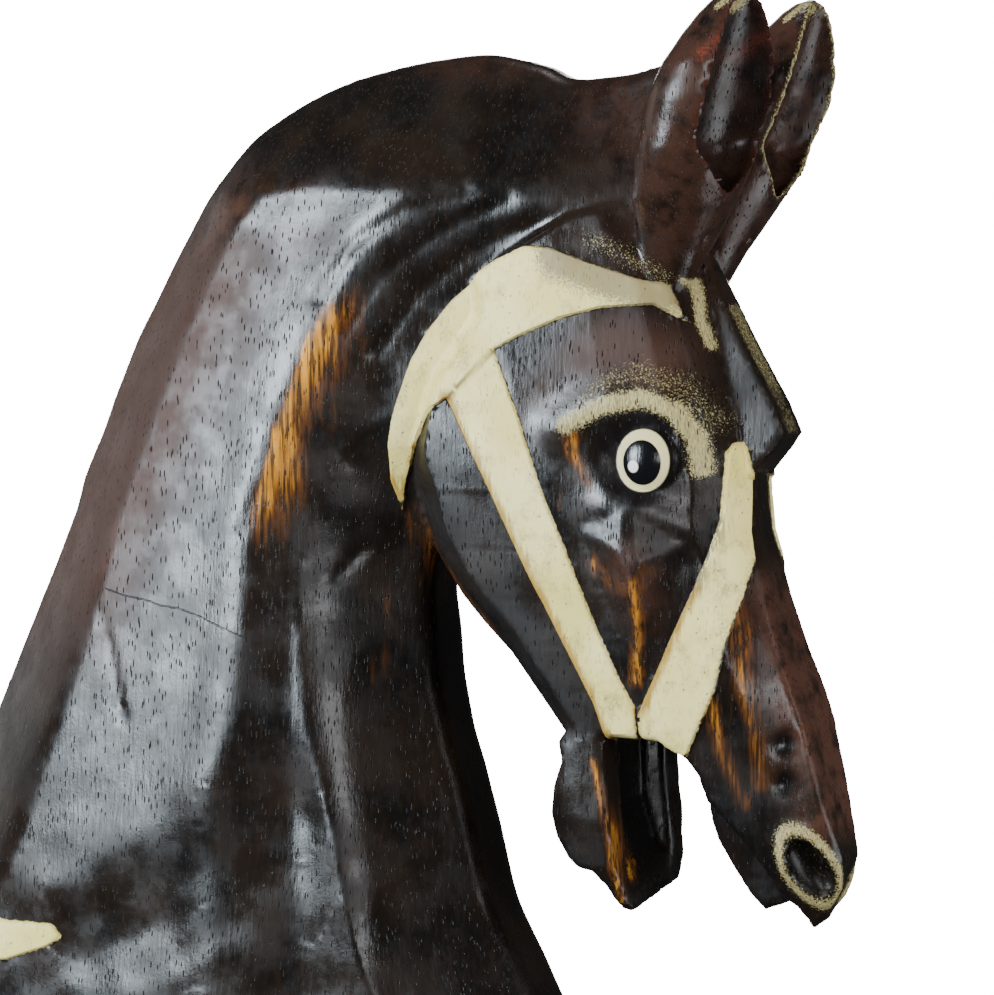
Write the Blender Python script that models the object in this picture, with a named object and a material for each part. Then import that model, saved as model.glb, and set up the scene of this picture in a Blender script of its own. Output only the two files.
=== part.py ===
"""Bust of a carved wooden rocking horse: head and neck in one piece, cut flat below.

Built in its own frame: +X is where the nose points, +Z is up, and the piece is even about Y = 0.
The origin is on the flat underside. The outlines are drawn 434 units high, which is 1 mm a
unit at the real height, and every other size follows from the height.
The carving is one closed form: every part of it is a distance function, and the
functions are joined and cut with rounded edges before the surface is drawn over them.
"""
import bmesh
import bpy
import numpy as np

HEIGHT = 0.434             # underside to ear tips, in metres
DRAWN_HEIGHT = 434         # the same height in the units of the outlines below
UNIT = HEIGHT / DRAWN_HEIGHT
GRID = 3.0                 # spacing of the lattice that the surface is drawn on
TRIANGLES = 9400           # the finished solid's facets
STRAP_RAISED = 1.6         # how far the carved bridle stands off the cheek
STRAP_BEVEL = 1.0          # width of its sloped edge
CUT_BELOW = -50            # the outlines run on below the underside, which cuts them at Z = 0
NEAR_SCOOP, FAR_SCOOP = np.radians(12), np.radians(-3)   # how far each ear opens outwards
FAR_EAR_FORWARD = 1.5      # how much further forward the far ear's tip leans

# Neck: outlines seen from the side as (X, Z)
CREST = [(236, 409), (229, 408), (221, 406), (212, 404), (200, 403), (189, 402.5), (181, 404),
         (173, 408), (160, 411.5), (145, 414), (125, 413), (104, 410), (82, 405.5), (61, 398),
         (45, 390), (30, 380), (12, 361), (1, 345), (-16, 317), (-31, 290), (-46, 257), (-56, 236),
         (-61, 220), (-72.5, 196), (-91, 157), (-114, 109.5), (-135, 68), (-150.5, 39), (-198, CUT_BELOW)]
THROAT = [(188, CUT_BELOW), (176, 8), (169, 26), (158, 46), (151, 60), (146, 78), (141.5, 95), (136.5, 112),
          (130.5, 131), (126, 152), (124, 173), (122, 190), (124, 206), (130, 222)]
NECK_FRONT = [(130, 222), (140, 262), (160, 295), (190, 316), (236, 330)]
MANE_EDGE = [(-120, CUT_BELOW), (-60, 73), (-35, 139), (-22, 174), (-10, 218), (5, 257), (21, 295), (36, 328),
             (44, 345), (54, 355), (75, 358), (121, 356), (154, 352), (186, 351), (222, 345), (236, 342)]
NECK_HALF_WIDTH = ([-20, 60, 140, 230, 300, 350, 400], [62, 58, 53, 48, 44, 39, 34])
CREST_HALF_WIDTH = 8
THROAT_HALF_WIDTH = 14
THROAT_BEVEL = 54
MANE_EDGE_ROUND, NECK_ROUND = 3.0, 5.0
WIDEST_ROUND = 9

# The neck is widest along this line; its side falls away to both sides of it
WIDEST_LINE = [(121, 353), (95, 324), (77, 295), (64, 262), (52, 219), (51, 169), (41, 118), (36, 60)]
FALL_BACK, FALL_FORWARD = 0.05, 0.15

# Soft ridges and hollows of the neck: line, height, width
NECK_RELIEF = [
    (WIDEST_LINE, 1.5, 15),
    ([(104, 222), (102, 187), (101, 145), (103, 103), (110, 79), (116, 25)], 3.0, 14),
    ([(86, 245), (76, 203), (72, 165), (71, 119), (76, 77), (80, 22)], -2.6, 14),
    ([(160, 330), (135, 312), (116, 285), (106, 249), (103, 220), (106, 187)], -3.5, 17),
    ([(61, 134), (35, 108), (-7, 78), (-38, 58)], 1.2, 17),
    ([(74, 96), (50, 72), (19, 52), (-22, 34)], -2.2, 20),
    (NECK_FRONT, -6.0, 16),
    ([(180, 343), (150, 331), (127, 314), (110, 290)], -1.5, 3.6),
    ([(169, 353), (141, 341), (113, 322), (97, 298)], -1.5, 3.6),
    ([(150, 356), (125, 349), (101, 335), (86, 312)], -1.5, 3.6),
]

# Head
FACE = [(226, 352), (240, 338), (246, 318), (254, 292), (261, 268), (266, 252), (269, 240), (269.5, 228),
        (270, 218), (273.5, 204), (276.5, 193), (280.3, 180), (284, 168.5), (289, 156), (294.5, 141),
        (298.5, 124.5), (303, 106), (308, 88), (305, 76), (298, 62), (292.5, 58)]
UPPER_LIP = [(288, 67), (284, 71), (280, 79), (273, 90), (265, 99), (255, 109), (251, 120), (246, 126)]
MOUTH_CORNER = [(236, 134), (214, 135), (200, 128)]
JAW = [(188, 133), (179.5, 144), (171, 154.5), (162, 166), (150, 177), (139, 189), (127, 207), (121, 225),
       (115, 240), (113, 252), (117, 270), (124, 288), (143, 310)]
CHEEK_TOP = [(165, 328), (195, 345)]
# Half width of the head by height and by depth behind the face line
SECTION_HEIGHT = [58, 72, 87, 108, 135, 165, 208, 245, 300, 390]
SECTION_DEPTH = [0, 8, 18, 40, 80]
SECTION_HALF_WIDTH = [[3, 6, 9, 10, 10], [6, 10, 14, 15, 15], [9, 15, 19, 20, 20],
                      [14.5, 18, 21, 23, 24], [16.5, 19, 22, 26, 28], [16.5, 20, 26, 31, 32],
                      [10.5, 20, 29, 36, 37], [6, 19, 31, 38, 40], [9, 26, 33, 37, 39],
                      [9, 22, 28, 30, 30]]
JAW_HALF_WIDTH = 17
HEAD_ROUND, EYE_ROUND, HEAD_BLEND = 2.5, 1.0, 4.0
BROW_RAISED, CHEEK_RAISED, WEDGE_RAISED, DIMPLE_DEPTH = 2.6, 2.0, 4.5, 1.6
BROW_WIDTH, CHEEK_WIDTH, DIMPLE_WIDTH = 9, 8, 4.5
BROW_ARCH = [(196, 260), (210, 268), (229, 274), (247, 269), (257, 257)]
CHEEK_BONE = [(218, 228), (232, 226), (250, 219)]
CHEEK_WEDGE = [(205, 219), (225, 228), (251, 214), (243, 190), (229, 153), (215, 190)]
SOCKET_CENTRE, SOCKET_SIZE = (236, 46, 248), (25, 13, 20)
EYE_CENTRE, EYE_SIZE = (232.5, 29, 247), (15, 10, 15.5)
NOSTRIL_CENTRE, NOSTRIL_SIZE = (297, 15, 83), (14.5, 7.5, 7)
NOSTRIL_ALONG = (0.40, -0.40, -0.83)
NOSTRIL_LIP = 0.9
DIMPLES = [(287, 134), (287, 118)]

# Lower jaw: a trough between two rims, with the near rim set a little further back
LOWER_JAW = [(200, 150), (192, 138), (193.5, 129), (189.5, 119), (187.5, 108), (190, 98), (196, 90),
             (201, 86), (206.5, 84.5), (211, 79), (214, 72.5), (216, 66), (219.5, 65), (219, 74),
             (217, 92), (215, 112), (214, 140)]
TROUGH = [(206, 145), (208, 104), (213, 84), (224, 66), (250, 60), (250, 145)]
LOWER_JAW_SIDE = ([60, 66, 80, 100, 130, 150], [14, 20, 26, 28, 28, 24])
TROUGH_SIDE = ([55, 75, 130], [8, 17, 20])
CHIN_DEPTH = 28
CHIN_START, TROUGH_START = 205, 222    # where the lower jaw and its trough begin to narrow backwards
LOWER_JAW_ROUND, SMALL_ROUND = 2.5, 2.0
JAW_SKEW, JAW_TILT = 0.13, 0.28   # how far the lower jaw's far side lies forward and higher
PALATE = [(242, 140), (251, 120), (251, 104), (254, 93), (260, 83), (268, 71), (274, 65), (285, 70),
          (292, 90), (280, 140)]
PALATE_SIDE = ([66, 110], [9, 13])

# Ears: height, centre forward, and half length across; they lean out as they rise
EAR_PATH = ([305, 331, 351, 371, 391, 411, 430, 434], [232, 238, 244, 251.5, 259, 266, 272, 273])
EAR_SPREAD = ([305, 331, 354, 396, 434], [17, 18.5, 23, 31, 34])
EAR_HALF = ([300, 312, 322, 331, 341, 351, 371, 391, 405, 416, 424, 429, 432.5, 434.5],
            [4, 8, 11.5, 15, 19, 22.5, 26.5, 27, 24.5, 19.5, 15, 11, 6.5, 0.5])
EAR_FLATNESS = ([300, 340, 390, 434], [0.95, 0.88, 0.90, 0.88])
EAR_FOOT = 300
SCOOP_FOOT, SCOOP_RISE, SCOOP_LEAST = 343, 34, 0.3
SCOOP_SET = ([320, 350, 400, 434], [9, 7, 6, 4])
LEAN_START, LEAN_LENGTH = 338, 50

FORELOCK = [(228, 392), (236, 350), (247, 326), (254, 312), (265, 291), (277, 270.5), (282.5, 258),
            (277.5, 251), (268, 240), (259, 242), (245, 270), (225, 330), (214, 380)]
FORELOCK_HALF_WIDTH = ([240, 300, 330, 390], [10.5, 8.5, 6, 8])

# Carved bridle straps on each cheek, and the point of the saddle cloth low on the shoulder
CROWN_STRAP = [(115, 222), (111.5, 237), (113, 252), (118.5, 270), (125, 287), (132, 299), (143, 312),
               (159, 325), (178, 334), (190, 333), (202, 328.5), (213, 325), (229, 320), (240, 318),
               (249, 293), (246, 302), (234, 309), (214, 308), (197, 304), (179, 297), (167, 291),
               (145, 271), (134, 264), (127, 254), (118.5, 237)]
REAR_STRAP = [(140, 280), (145, 271), (160, 242), (177, 206), (194, 173), (204, 153), (207, 147),
              (211, 135), (212.5, 126), (216, 132), (226, 133), (226, 147), (220, 158), (208, 186),
              (198, 212), (189, 234), (179, 263), (173, 277), (167, 291)]
FRONT_STRAP = [(260, 250), (262, 254.5), (265.5, 254.5), (268, 250), (270, 241), (272, 222), (272, 206),
               (270, 192), (266, 178), (260.5, 155), (247.5, 127), (231, 133), (227, 134), (227.5, 146),
               (240, 170), (252, 196), (256, 207), (259.5, 223), (260, 236)]
SADDLE_POINT = [(-36, 37), (-41, 43), (-66, 43), (-150, 52), (-190, 52), (-190, 20), (-66, 25), (-45, 32)]


def rounded_intersection(a, b, radius):
    inner = np.minimum(-radius, np.maximum(a, b))
    return inner + np.hypot(np.maximum(a + radius, 0), np.maximum(b + radius, 0))


def rounded_union(a, b, radius):
    return -rounded_intersection(-a, -b, radius)


def smooth_step(t):
    t = np.clip(t, 0, 1)
    return t * t * (3 - 2 * t)


def curve_through(points, steps=4):
    """A smooth curve through the points, each stretch cut into the same number of steps."""
    p = np.array(points, float)
    p = np.vstack([2 * p[0] - p[1], p, 2 * p[-1] - p[-2]])
    curve = []
    for i in range(1, len(p) - 2):
        before, start, end, after = p[i - 1:i + 3]
        for t in np.arange(steps) / steps:
            curve.append(0.5 * (2 * start + (end - before) * t
                                + (2 * before - 5 * start + 4 * end - after) * t ** 2
                                + (3 * start - before - 3 * end + after) * t ** 3))
    curve.append(p[-2])
    return np.array(curve)


def squared_distance(x, z, start, end):
    along_x, along_z = end[0] - start[0], end[1] - start[1]
    length = max(along_x ** 2 + along_z ** 2, 1e-9)
    t = np.clip(((x - start[0]) * along_x + (z - start[1]) * along_z) / length, 0, 1)
    return (x - start[0] - along_x * t) ** 2 + (z - start[1] - along_z * t) ** 2


def line_distance(x, z, line):
    nearest = squared_distance(x, z, line[0], line[1])
    for start, end in zip(line[1:-1], line[2:]):
        nearest = np.minimum(nearest, squared_distance(x, z, start, end))
    return np.sqrt(nearest)


def outline_distance(x, z, outline):
    """Distance to a closed outline in the XZ plane, negative inside it."""
    nearest = np.inf
    inside = False
    for start, end in zip(outline, np.roll(outline, -1, axis=0)):
        nearest = np.minimum(nearest, squared_distance(x, z, start, end))
        if abs(end[1] - start[1]) > 1e-9:
            crossing = (end[0] - start[0]) * (z - start[1]) / (end[1] - start[1]) + start[0]
            inside = inside ^ (((start[1] > z) != (end[1] > z)) & (x < crossing))
    return np.where(inside, -1.0, 1.0) * np.sqrt(nearest)


def ridge(x, z, line, width):
    return np.exp(-(line_distance(x, z, line) / width) ** 2)


def section_width(height, depth):
    """Half width of the head, smooth over height and straight between depths."""
    rows, cols = np.array(SECTION_HEIGHT, float), np.array(SECTION_DEPTH, float)
    sizes = np.array(SECTION_HALF_WIDTH, float)
    slopes = np.zeros_like(sizes)
    slopes[1:-1] = (sizes[2:] - sizes[:-2]) / (rows[2:] - rows[:-2])[:, None]
    height, depth = np.broadcast_arrays(height, depth)
    i = np.clip(np.searchsorted(rows, height) - 1, 0, len(rows) - 2)
    j = np.clip(np.searchsorted(cols, depth) - 1, 0, len(cols) - 2)
    span = rows[i + 1] - rows[i]
    u = np.clip((height - rows[i]) / span, 0, 1)
    v = np.clip((depth - cols[j]) / (cols[j + 1] - cols[j]), 0, 1)

    def column(k):
        ends = (2 * u ** 3 - 3 * u ** 2 + 1) * sizes[i, k] + (3 * u ** 2 - 2 * u ** 3) * sizes[i + 1, k]
        bends = (u ** 3 - 2 * u ** 2 + u) * slopes[i, k] + (u ** 3 - u ** 2) * slopes[i + 1, k]
        return ends + bends * span
    return column(j) * (1 - v) + column(j + 1) * v


def ellipsoid(x, y, z, centre, size):
    across = abs(y) - centre[1]
    ratio = np.sqrt(((x - centre[0]) / size[0]) ** 2 + (across / size[1]) ** 2 + ((z - centre[2]) / size[2]) ** 2)
    return (ratio - 1) * min(size)


CREST_CURVE = curve_through(CREST)
THROAT_CURVE = curve_through(THROAT)
NECK_OUTLINE = np.vstack([CREST_CURVE, THROAT_CURVE, NECK_FRONT[1:]])
MANE_BAND = np.vstack([CREST_CURVE, MANE_EDGE])
HEAD_OUTLINE = np.array(FACE + UPPER_LIP + MOUTH_CORNER + JAW + CHEEK_TOP, float)


def neck(x, y, z):
    outline = outline_distance(x, z, NECK_OUTLINE)
    forward = x - np.interp(z, *np.array(WIDEST_LINE[::-1])[:, ::-1].T)
    fall = np.where(forward > 0, FALL_FORWARD, FALL_BACK) * (np.hypot(forward, WIDEST_ROUND) - WIDEST_ROUND)
    side = np.interp(z, *NECK_HALF_WIDTH) - fall
    for line, height, width in NECK_RELIEF:
        side = side + height * ridge(x, z, line, width)
    from_crest = line_distance(x, z, CREST_CURVE)
    in_mane = outline_distance(x, z, MANE_BAND) < 0
    to_mane_edge = np.where(in_mane, line_distance(x, z, MANE_EDGE), 0)
    share = from_crest / np.maximum(from_crest + to_mane_edge, 1e-3)
    mane = CREST_HALF_WIDTH + (side - CREST_HALF_WIDTH) * (1 - (1 - share) ** 1.5)
    from_throat = np.clip(line_distance(x, z, THROAT_CURVE) / THROAT_BEVEL, 0, 1)
    throat = THROAT_HALF_WIDTH + (side - THROAT_HALF_WIDTH + 2) * (1 - (1 - from_throat) ** 1.5)
    return rounded_intersection(outline, abs(y) - rounded_union(mane, throat, MANE_EDGE_ROUND), NECK_ROUND)


def nostril(x, y, z):
    """Distance to the nostril's scoop, and how far out from its middle a point is."""
    along = np.array(NOSTRIL_ALONG) / np.linalg.norm(NOSTRIL_ALONG)
    out = np.cross(along, (0, 0, 1))
    out = out * np.sign(out[1])
    out /= np.linalg.norm(out)
    across = np.cross(along, out)
    rel = (x - NOSTRIL_CENTRE[0], abs(y) - NOSTRIL_CENTRE[1], z - NOSTRIL_CENTRE[2])
    parts = [sum(r * a for r, a in zip(rel, axis)) for axis in (along, across, out)]
    scaled = [p / s for p, s in zip(parts, NOSTRIL_SIZE)]
    reach = np.sqrt(sum(s * s for s in scaled))
    return (reach - 1) * min(NOSTRIL_SIZE), reach


def head(x, y, z):
    outline = outline_distance(x, z, HEAD_OUTLINE)
    side = section_width(z, line_distance(x, z, FACE))
    side = side + BROW_RAISED * ridge(x, z, BROW_ARCH, BROW_WIDTH)
    side = side + CHEEK_RAISED * ridge(x, z, CHEEK_BONE, CHEEK_WIDTH)
    side = side + np.clip(-0.30 * outline_distance(x, z, CHEEK_WEDGE), 0, WEDGE_RAISED)
    for dimple in DIMPLES:
        away = (x - dimple[0]) ** 2 + (z - dimple[1]) ** 2
        side = side - DIMPLE_DEPTH * np.exp(-away / DIMPLE_WIDTH ** 2)
    jaw = JAW_HALF_WIDTH + 1.1 * line_distance(x, z, JAW)
    form = rounded_intersection(outline, abs(y) - rounded_union(side, jaw, HEAD_ROUND), HEAD_ROUND)
    form = rounded_intersection(form, -ellipsoid(x, y, z, SOCKET_CENTRE, SOCKET_SIZE), HEAD_ROUND)
    form = rounded_union(form, ellipsoid(x, y, z, EYE_CENTRE, EYE_SIZE), EYE_ROUND)
    scoop, reach = nostril(x, y, z)
    form = form - NOSTRIL_LIP * np.exp(-((reach - 1.25) / 0.25) ** 2)
    return rounded_intersection(form, -scoop, EYE_ROUND)


def lower_jaw(x, y, z):
    skewed, tilted = x - JAW_SKEW * y, z - JAW_TILT * y
    outline = outline_distance(skewed, tilted, LOWER_JAW)
    side = np.interp(z, *LOWER_JAW_SIDE)
    side = side - 0.34 * np.clip(CHIN_START - skewed, 0, CHIN_DEPTH) ** 2 / CHIN_DEPTH
    form = rounded_intersection(outline, abs(y) - side, LOWER_JAW_ROUND)
    gap = np.interp(z, *TROUGH_SIDE) - 0.5 * np.clip(TROUGH_START - skewed, 0, CHIN_DEPTH)
    trough = rounded_intersection(outline_distance(skewed, tilted, TROUGH), abs(y) - gap, SMALL_ROUND)
    return rounded_intersection(form, -trough, SMALL_ROUND)


def palate(x, y, z):
    side = np.interp(z, *PALATE_SIDE)
    return rounded_intersection(outline_distance(x, z, PALATE), abs(y) - side, SMALL_ROUND)


def ear(x, y, z):
    half = np.interp(z, *EAR_HALF)
    thick = half * np.interp(z, *EAR_FLATNESS)
    far_side = y > 0
    forward = x - np.interp(z, *EAR_PATH) - FAR_EAR_FORWARD * far_side * smooth_step((z - LEAN_START) / LEAN_LENGTH)
    outward = abs(y) - np.interp(z, *EAR_SPREAD)
    angle = np.where(far_side, FAR_SCOOP, NEAR_SCOOP)
    deep = forward * np.cos(angle) + outward * np.sin(angle)
    wide = forward * np.sin(angle) - outward * np.cos(angle)
    leaf = (np.hypot(wide / half, deep / thick) - 1) * thick * 0.92
    leaf = np.maximum(leaf, EAR_FOOT - z)
    hollow = np.maximum(0.78 * half * smooth_step((z - SCOOP_FOOT) / SCOOP_RISE), SCOOP_LEAST)
    offset = np.interp(z, *SCOOP_SET) + thick * 0.42
    scoop = (np.hypot(wide / hollow, (deep - offset) / (hollow * 0.85)) - 1) * hollow * 0.8
    return rounded_intersection(leaf, -scoop, SMALL_ROUND)


def forelock(x, y, z):
    side = np.interp(z, *FORELOCK_HALF_WIDTH)
    return rounded_intersection(outline_distance(x, z, FORELOCK), abs(y) - side, SMALL_ROUND)


def horse(x, y, z):
    form = rounded_union(neck(x, y, z), head(x, y, z), HEAD_BLEND)
    form = rounded_union(form, lower_jaw(x, y, z), SMALL_ROUND)
    form = rounded_union(form, palate(x, y, z), SMALL_ROUND)
    form = rounded_union(form, ear(x, y, z), SMALL_ROUND)
    return rounded_union(form, forelock(x, y, z), EYE_ROUND)


def slope(points):
    """Value and gradient of the form at the points."""
    reach = 0.03
    value = horse(*points.T)
    columns = []
    for axis in range(3):
        shifted = points.copy()
        shifted[:, axis] += reach
        columns.append((horse(*shifted.T) - value) / reach)
    return value, np.stack(columns, 1)


def joined(corners):
    """Whether a set of a cube's corners, each a triple of 0 and 1, hangs together along its edges."""
    if not corners:
        return True
    reached, waiting = set(), [corners[0]]
    while waiting:
        corner = waiting.pop()
        if corner in reached:
            continue
        reached.add(corner)
        waiting += [c for c in corners if sum(abs(p - q) for p, q in zip(c, corner)) == 1]
    return len(reached) == len(corners)


def fill_doubtful_cells(value):
    """Fills corners until the surface crosses every lattice cell as one sheet."""
    corners = [(i, j, k) for i in (0, 1) for j in (0, 1) for k in (0, 1)]
    doubtful = []
    for code in range(256):
        filled = [c for n, c in enumerate(corners) if code >> n & 1]
        empty = [c for n, c in enumerate(corners) if not code >> n & 1]
        doubtful.append(not (joined(filled) and joined(empty)))
    doubtful = np.array(doubtful)
    cells = tuple(n - 1 for n in value.shape)
    while True:
        code = np.zeros(cells, int)
        for n, (i, j, k) in enumerate(corners):
            part = value[i:i + cells[0], j:j + cells[1], k:k + cells[2]]
            code |= (part < 0).astype(int) << n
        found = np.argwhere(doubtful[code])
        if not len(found):
            return value
        for cell in found:
            around = [tuple(cell + np.array(c)) for c in corners]
            empty = [c for c in around if value[c] >= 0]
            if empty:
                value[min(empty, key=lambda c: value[c])] = -0.02


def lattice_axes():
    """Evenly spaced planes that reach past the form on every side, and down past the cut."""
    reach = 3 * GRID
    half = np.floor(max(NECK_HALF_WIDTH[1]) / GRID + 4) + 0.5
    return [np.arange(min(CREST)[0] - reach, max(FACE)[0] + reach, GRID),
            np.arange(-half, half + 1) * GRID,
            np.arange(-reach, max(EAR_HALF[0]) + reach, GRID)]


def draw_surface():
    """One vertex in each lattice cell that the form passes through, set on its creases."""
    axes = lattice_axes()
    value = horse(axes[0][:, None, None], axes[1][None, :, None], axes[2][None, None, :])
    value = fill_doubtful_cells(value)
    inside = value < 0
    cells = tuple(n - 1 for n in value.shape)
    size = cells[0] * cells[1] * cells[2]
    sums = {"count": np.zeros(size), "point": np.zeros((size, 3)),
            "plane": np.zeros((size, 9)), "rise": np.zeros((size, 3))}
    crossings = []
    for axis in range(3):
        low, high = [slice(None)] * 3, [slice(None)] * 3
        low[axis], high[axis] = slice(0, -1), slice(1, None)
        crossed = np.array(np.nonzero(inside[tuple(low)] != inside[tuple(high)]))
        crossings.append(crossed)
        a, b = value[tuple(low)][tuple(crossed)], value[tuple(high)][tuple(crossed)]
        points = np.stack([axes[k][crossed[k]] for k in range(3)], 1)
        points[:, axis] += GRID * a / (a - b)
        error, normal = slope(points)
        steep = np.maximum((normal ** 2).sum(1), 0.05)
        points -= normal * (error / steep)[:, None]
        normal /= np.sqrt(steep)[:, None]
        planes = (normal[:, :, None] * normal[:, None, :]).reshape(-1, 9)
        rises = normal * (normal * points).sum(1)[:, None]
        first, second = [k for k in range(3) if k != axis]
        for back_first in (0, 1):
            for back_second in (0, 1):
                cell = crossed.copy()
                cell[first] -= back_first
                cell[second] -= back_second
                kept = ((cell >= 0) & (cell < np.array(cells)[:, None])).all(0)
                key = np.ravel_multi_index(cell[:, kept], cells)
                sums["count"] += np.bincount(key, minlength=size)
                for name, data in (("point", points), ("plane", planes), ("rise", rises)):
                    for k in range(data.shape[1]):
                        sums[name][:, k] += np.bincount(key, data[kept, k], minlength=size)
    used = np.nonzero(sums["count"])[0]
    count = sums["count"][used][:, None]
    middle = sums["point"][used] / count
    pull = 0.08
    matrix = sums["plane"][used].reshape(-1, 3, 3) / count[:, :, None] + pull * np.eye(3)
    target = sums["rise"][used] / count + pull * middle
    points = np.linalg.solve(matrix, target[:, :, None])[:, :, 0]
    corner = np.stack([axes[k][i] for k, i in enumerate(np.unravel_index(used, cells))], 1)
    points = np.clip(points, corner + 0.04 * GRID, corner + 0.96 * GRID)
    number = np.full(size, -1)
    number[used] = np.arange(len(used))
    faces = []
    for axis, crossed in enumerate(crossings):
        first, second = (axis + 1) % 3, (axis + 2) % 3
        inner = (crossed[first] > 0) & (crossed[second] > 0)
        inner &= (crossed[first] < cells[first]) & (crossed[second] < cells[second])
        crossed = crossed[:, inner]
        around = []
        for back_first, back_second in ((1, 1), (0, 1), (0, 0), (1, 0)):
            cell = crossed.copy()
            cell[first] -= back_first
            cell[second] -= back_second
            around.append(number[np.ravel_multi_index(cell, cells)])
        quads = np.stack(around, 1)
        turned = ~inside[tuple(crossed)]
        quads[turned] = quads[turned][:, ::-1]
        faces.append(quads)
    quads = np.vstack(faces)
    short = (np.linalg.norm(points[quads[:, 0]] - points[quads[:, 2]], axis=1)
             <= np.linalg.norm(points[quads[:, 1]] - points[quads[:, 3]], axis=1))[:, None]
    one = np.where(short, quads[:, [0, 1, 2]], quads[:, [0, 1, 3]])
    two = np.where(short, quads[:, [0, 2, 3]], quads[:, [1, 2, 3]])
    return points, np.vstack([one, two])


def split_along(points, triangles, height):
    """Cuts the triangles where height changes sign, so that edges run along its zero line."""
    height = np.where(abs(height) < 0.25, 0.0, height)
    new_points = [points]
    total = len(points)
    made = {}
    kept = []
    high, low = height[triangles].max(1), height[triangles].min(1)
    cut = (high > 0) & (low < 0)
    for triangle in triangles[cut]:
        ring = []
        for k in range(3):
            a, b = int(triangle[k]), int(triangle[(k + 1) % 3])
            ring.append(a)
            if height[a] * height[b] < 0:
                key = (min(a, b), max(a, b))
                if key not in made:
                    made[key] = total
                    t = height[key[0]] / (height[key[0]] - height[key[1]])
                    new_points.append((points[key[0]] * (1 - t) + points[key[1]] * t)[None])
                    total += 1
                ring.append(made[key])
        marks = [height[v] if v < len(points) else 0.0 for v in ring]
        for side in (1, -1):
            part = [v for v, m in zip(ring, marks) if m * side >= 0]
            for k in range(1, len(part) - 1):
                kept.append((part[0], part[k], part[k + 1]))
    return np.vstack(new_points), np.vstack([triangles[~cut], np.array(kept, int).reshape(-1, 3)])


def strap_depth(points):
    """How far inside a strap's outline each point of the surface is, on both cheeks."""
    x, y, z = points.T
    outside = np.minimum(outline_distance(x, z, CROWN_STRAP), outline_distance(x, z, REAR_STRAP))
    front_edge = section_width(z, 0 * z) + 1.5
    front = np.maximum(outline_distance(x, z, FRONT_STRAP), front_edge - abs(y))
    outside = np.minimum(outside, front)
    outside = np.minimum(outside, outline_distance(x, z, SADDLE_POINT))
    return np.maximum(outside, 5 - abs(y)) * -1


def raise_straps(points, triangles):
    points, triangles = split_along(points, triangles, strap_depth(points))
    points, triangles = split_along(points, triangles, strap_depth(points) - STRAP_BEVEL)
    lift = STRAP_RAISED * np.clip(strap_depth(points) / STRAP_BEVEL, 0, 1)
    _, normal = slope(points)
    normal /= np.maximum(np.linalg.norm(normal, axis=1), 1e-6)[:, None]
    return points + normal * lift[:, None], triangles


def stained_wood():
    material = bpy.data.materials.new("stained_wood")
    material.use_nodes = True
    shader = material.node_tree.nodes["Principled BSDF"]
    shader.inputs["Base Color"].default_value = (0.045, 0.022, 0.014, 1)
    shader.inputs["Roughness"].default_value = 0.28
    shader.inputs["Metallic"].default_value = 0.0
    return material


def cut_underside(mesh):
    """Cuts the neck flat at Z = 0 and closes the cut."""
    form = bmesh.new()
    form.from_mesh(mesh)
    everything = form.verts[:] + form.edges[:] + form.faces[:]
    cut = bmesh.ops.bisect_plane(form, geom=everything, dist=1e-6, plane_co=(0, 0, 0),
                                 plane_no=(0, 0, 1), clear_inner=True)
    rim = [item for item in cut["geom_cut"] if isinstance(item, bmesh.types.BMEdge)]
    bmesh.ops.holes_fill(form, edges=rim, sides=0)
    bmesh.ops.triangulate(form, faces=form.faces[:])
    bmesh.ops.recalc_face_normals(form, faces=form.faces[:])
    form.to_mesh(mesh)
    form.free()


def build():
    for item in list(bpy.data.objects):
        bpy.data.objects.remove(item, do_unlink=True)
    points, triangles = draw_surface()
    points, triangles = raise_straps(points, triangles)
    mesh = bpy.data.meshes.new("horse_head_and_neck")
    mesh.from_pydata((points * UNIT).tolist(), [], triangles.tolist())
    cut_underside(mesh)
    piece = bpy.data.objects.new("horse_head_and_neck", mesh)
    bpy.context.scene.collection.objects.link(piece)
    mesh.materials.append(stained_wood())
    mesh.shade_smooth()
    mesh.set_sharp_from_angle(angle=np.radians(30))
    facets = piece.modifiers.new("facets", "DECIMATE")
    facets.ratio = TRIANGLES / len(mesh.polygons)
    facets.use_collapse_triangulate = True


build()
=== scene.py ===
"""A carved wooden rocking horse bust as photographed: fine carving, paint, wear, light and camera.

The carving is one closed form: every part of it is a distance function, and the functions are
joined and cut with rounded edges before the surface is drawn over them. Sizes in the outlines
are millimetres; +X is where the nose points and the origin is on the flat underside.
"""

import bmesh
import bpy
import numpy as np
from mathutils import Matrix, Vector


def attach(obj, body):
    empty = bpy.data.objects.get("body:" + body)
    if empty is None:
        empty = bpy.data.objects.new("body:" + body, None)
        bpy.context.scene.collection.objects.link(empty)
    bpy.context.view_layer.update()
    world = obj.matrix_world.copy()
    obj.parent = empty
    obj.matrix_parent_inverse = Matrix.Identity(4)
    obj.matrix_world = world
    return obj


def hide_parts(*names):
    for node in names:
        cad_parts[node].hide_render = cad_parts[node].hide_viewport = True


UNIT = 0.001               # metres in a unit of the outlines
STRAP_RAISED = 1.6         # how far the carved bridle stands off the cheek
STRAP_BEVEL = 1.0          # width of its sloped edge
CUT_BELOW = -50            # the outlines run on below the underside, which cuts them at Z = 0
NEAR_SCOOP, FAR_SCOOP = np.radians(12), np.radians(-3)   # how far each ear opens outwards
FAR_EAR_FORWARD = 1.5      # how much further forward the far ear's tip leans
SHARP_ANGLE = np.radians(38)   # edges that turn more are shaded as sharp
CURVE_STEPS = 4            # straight stretches between two points of a smooth outline

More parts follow.
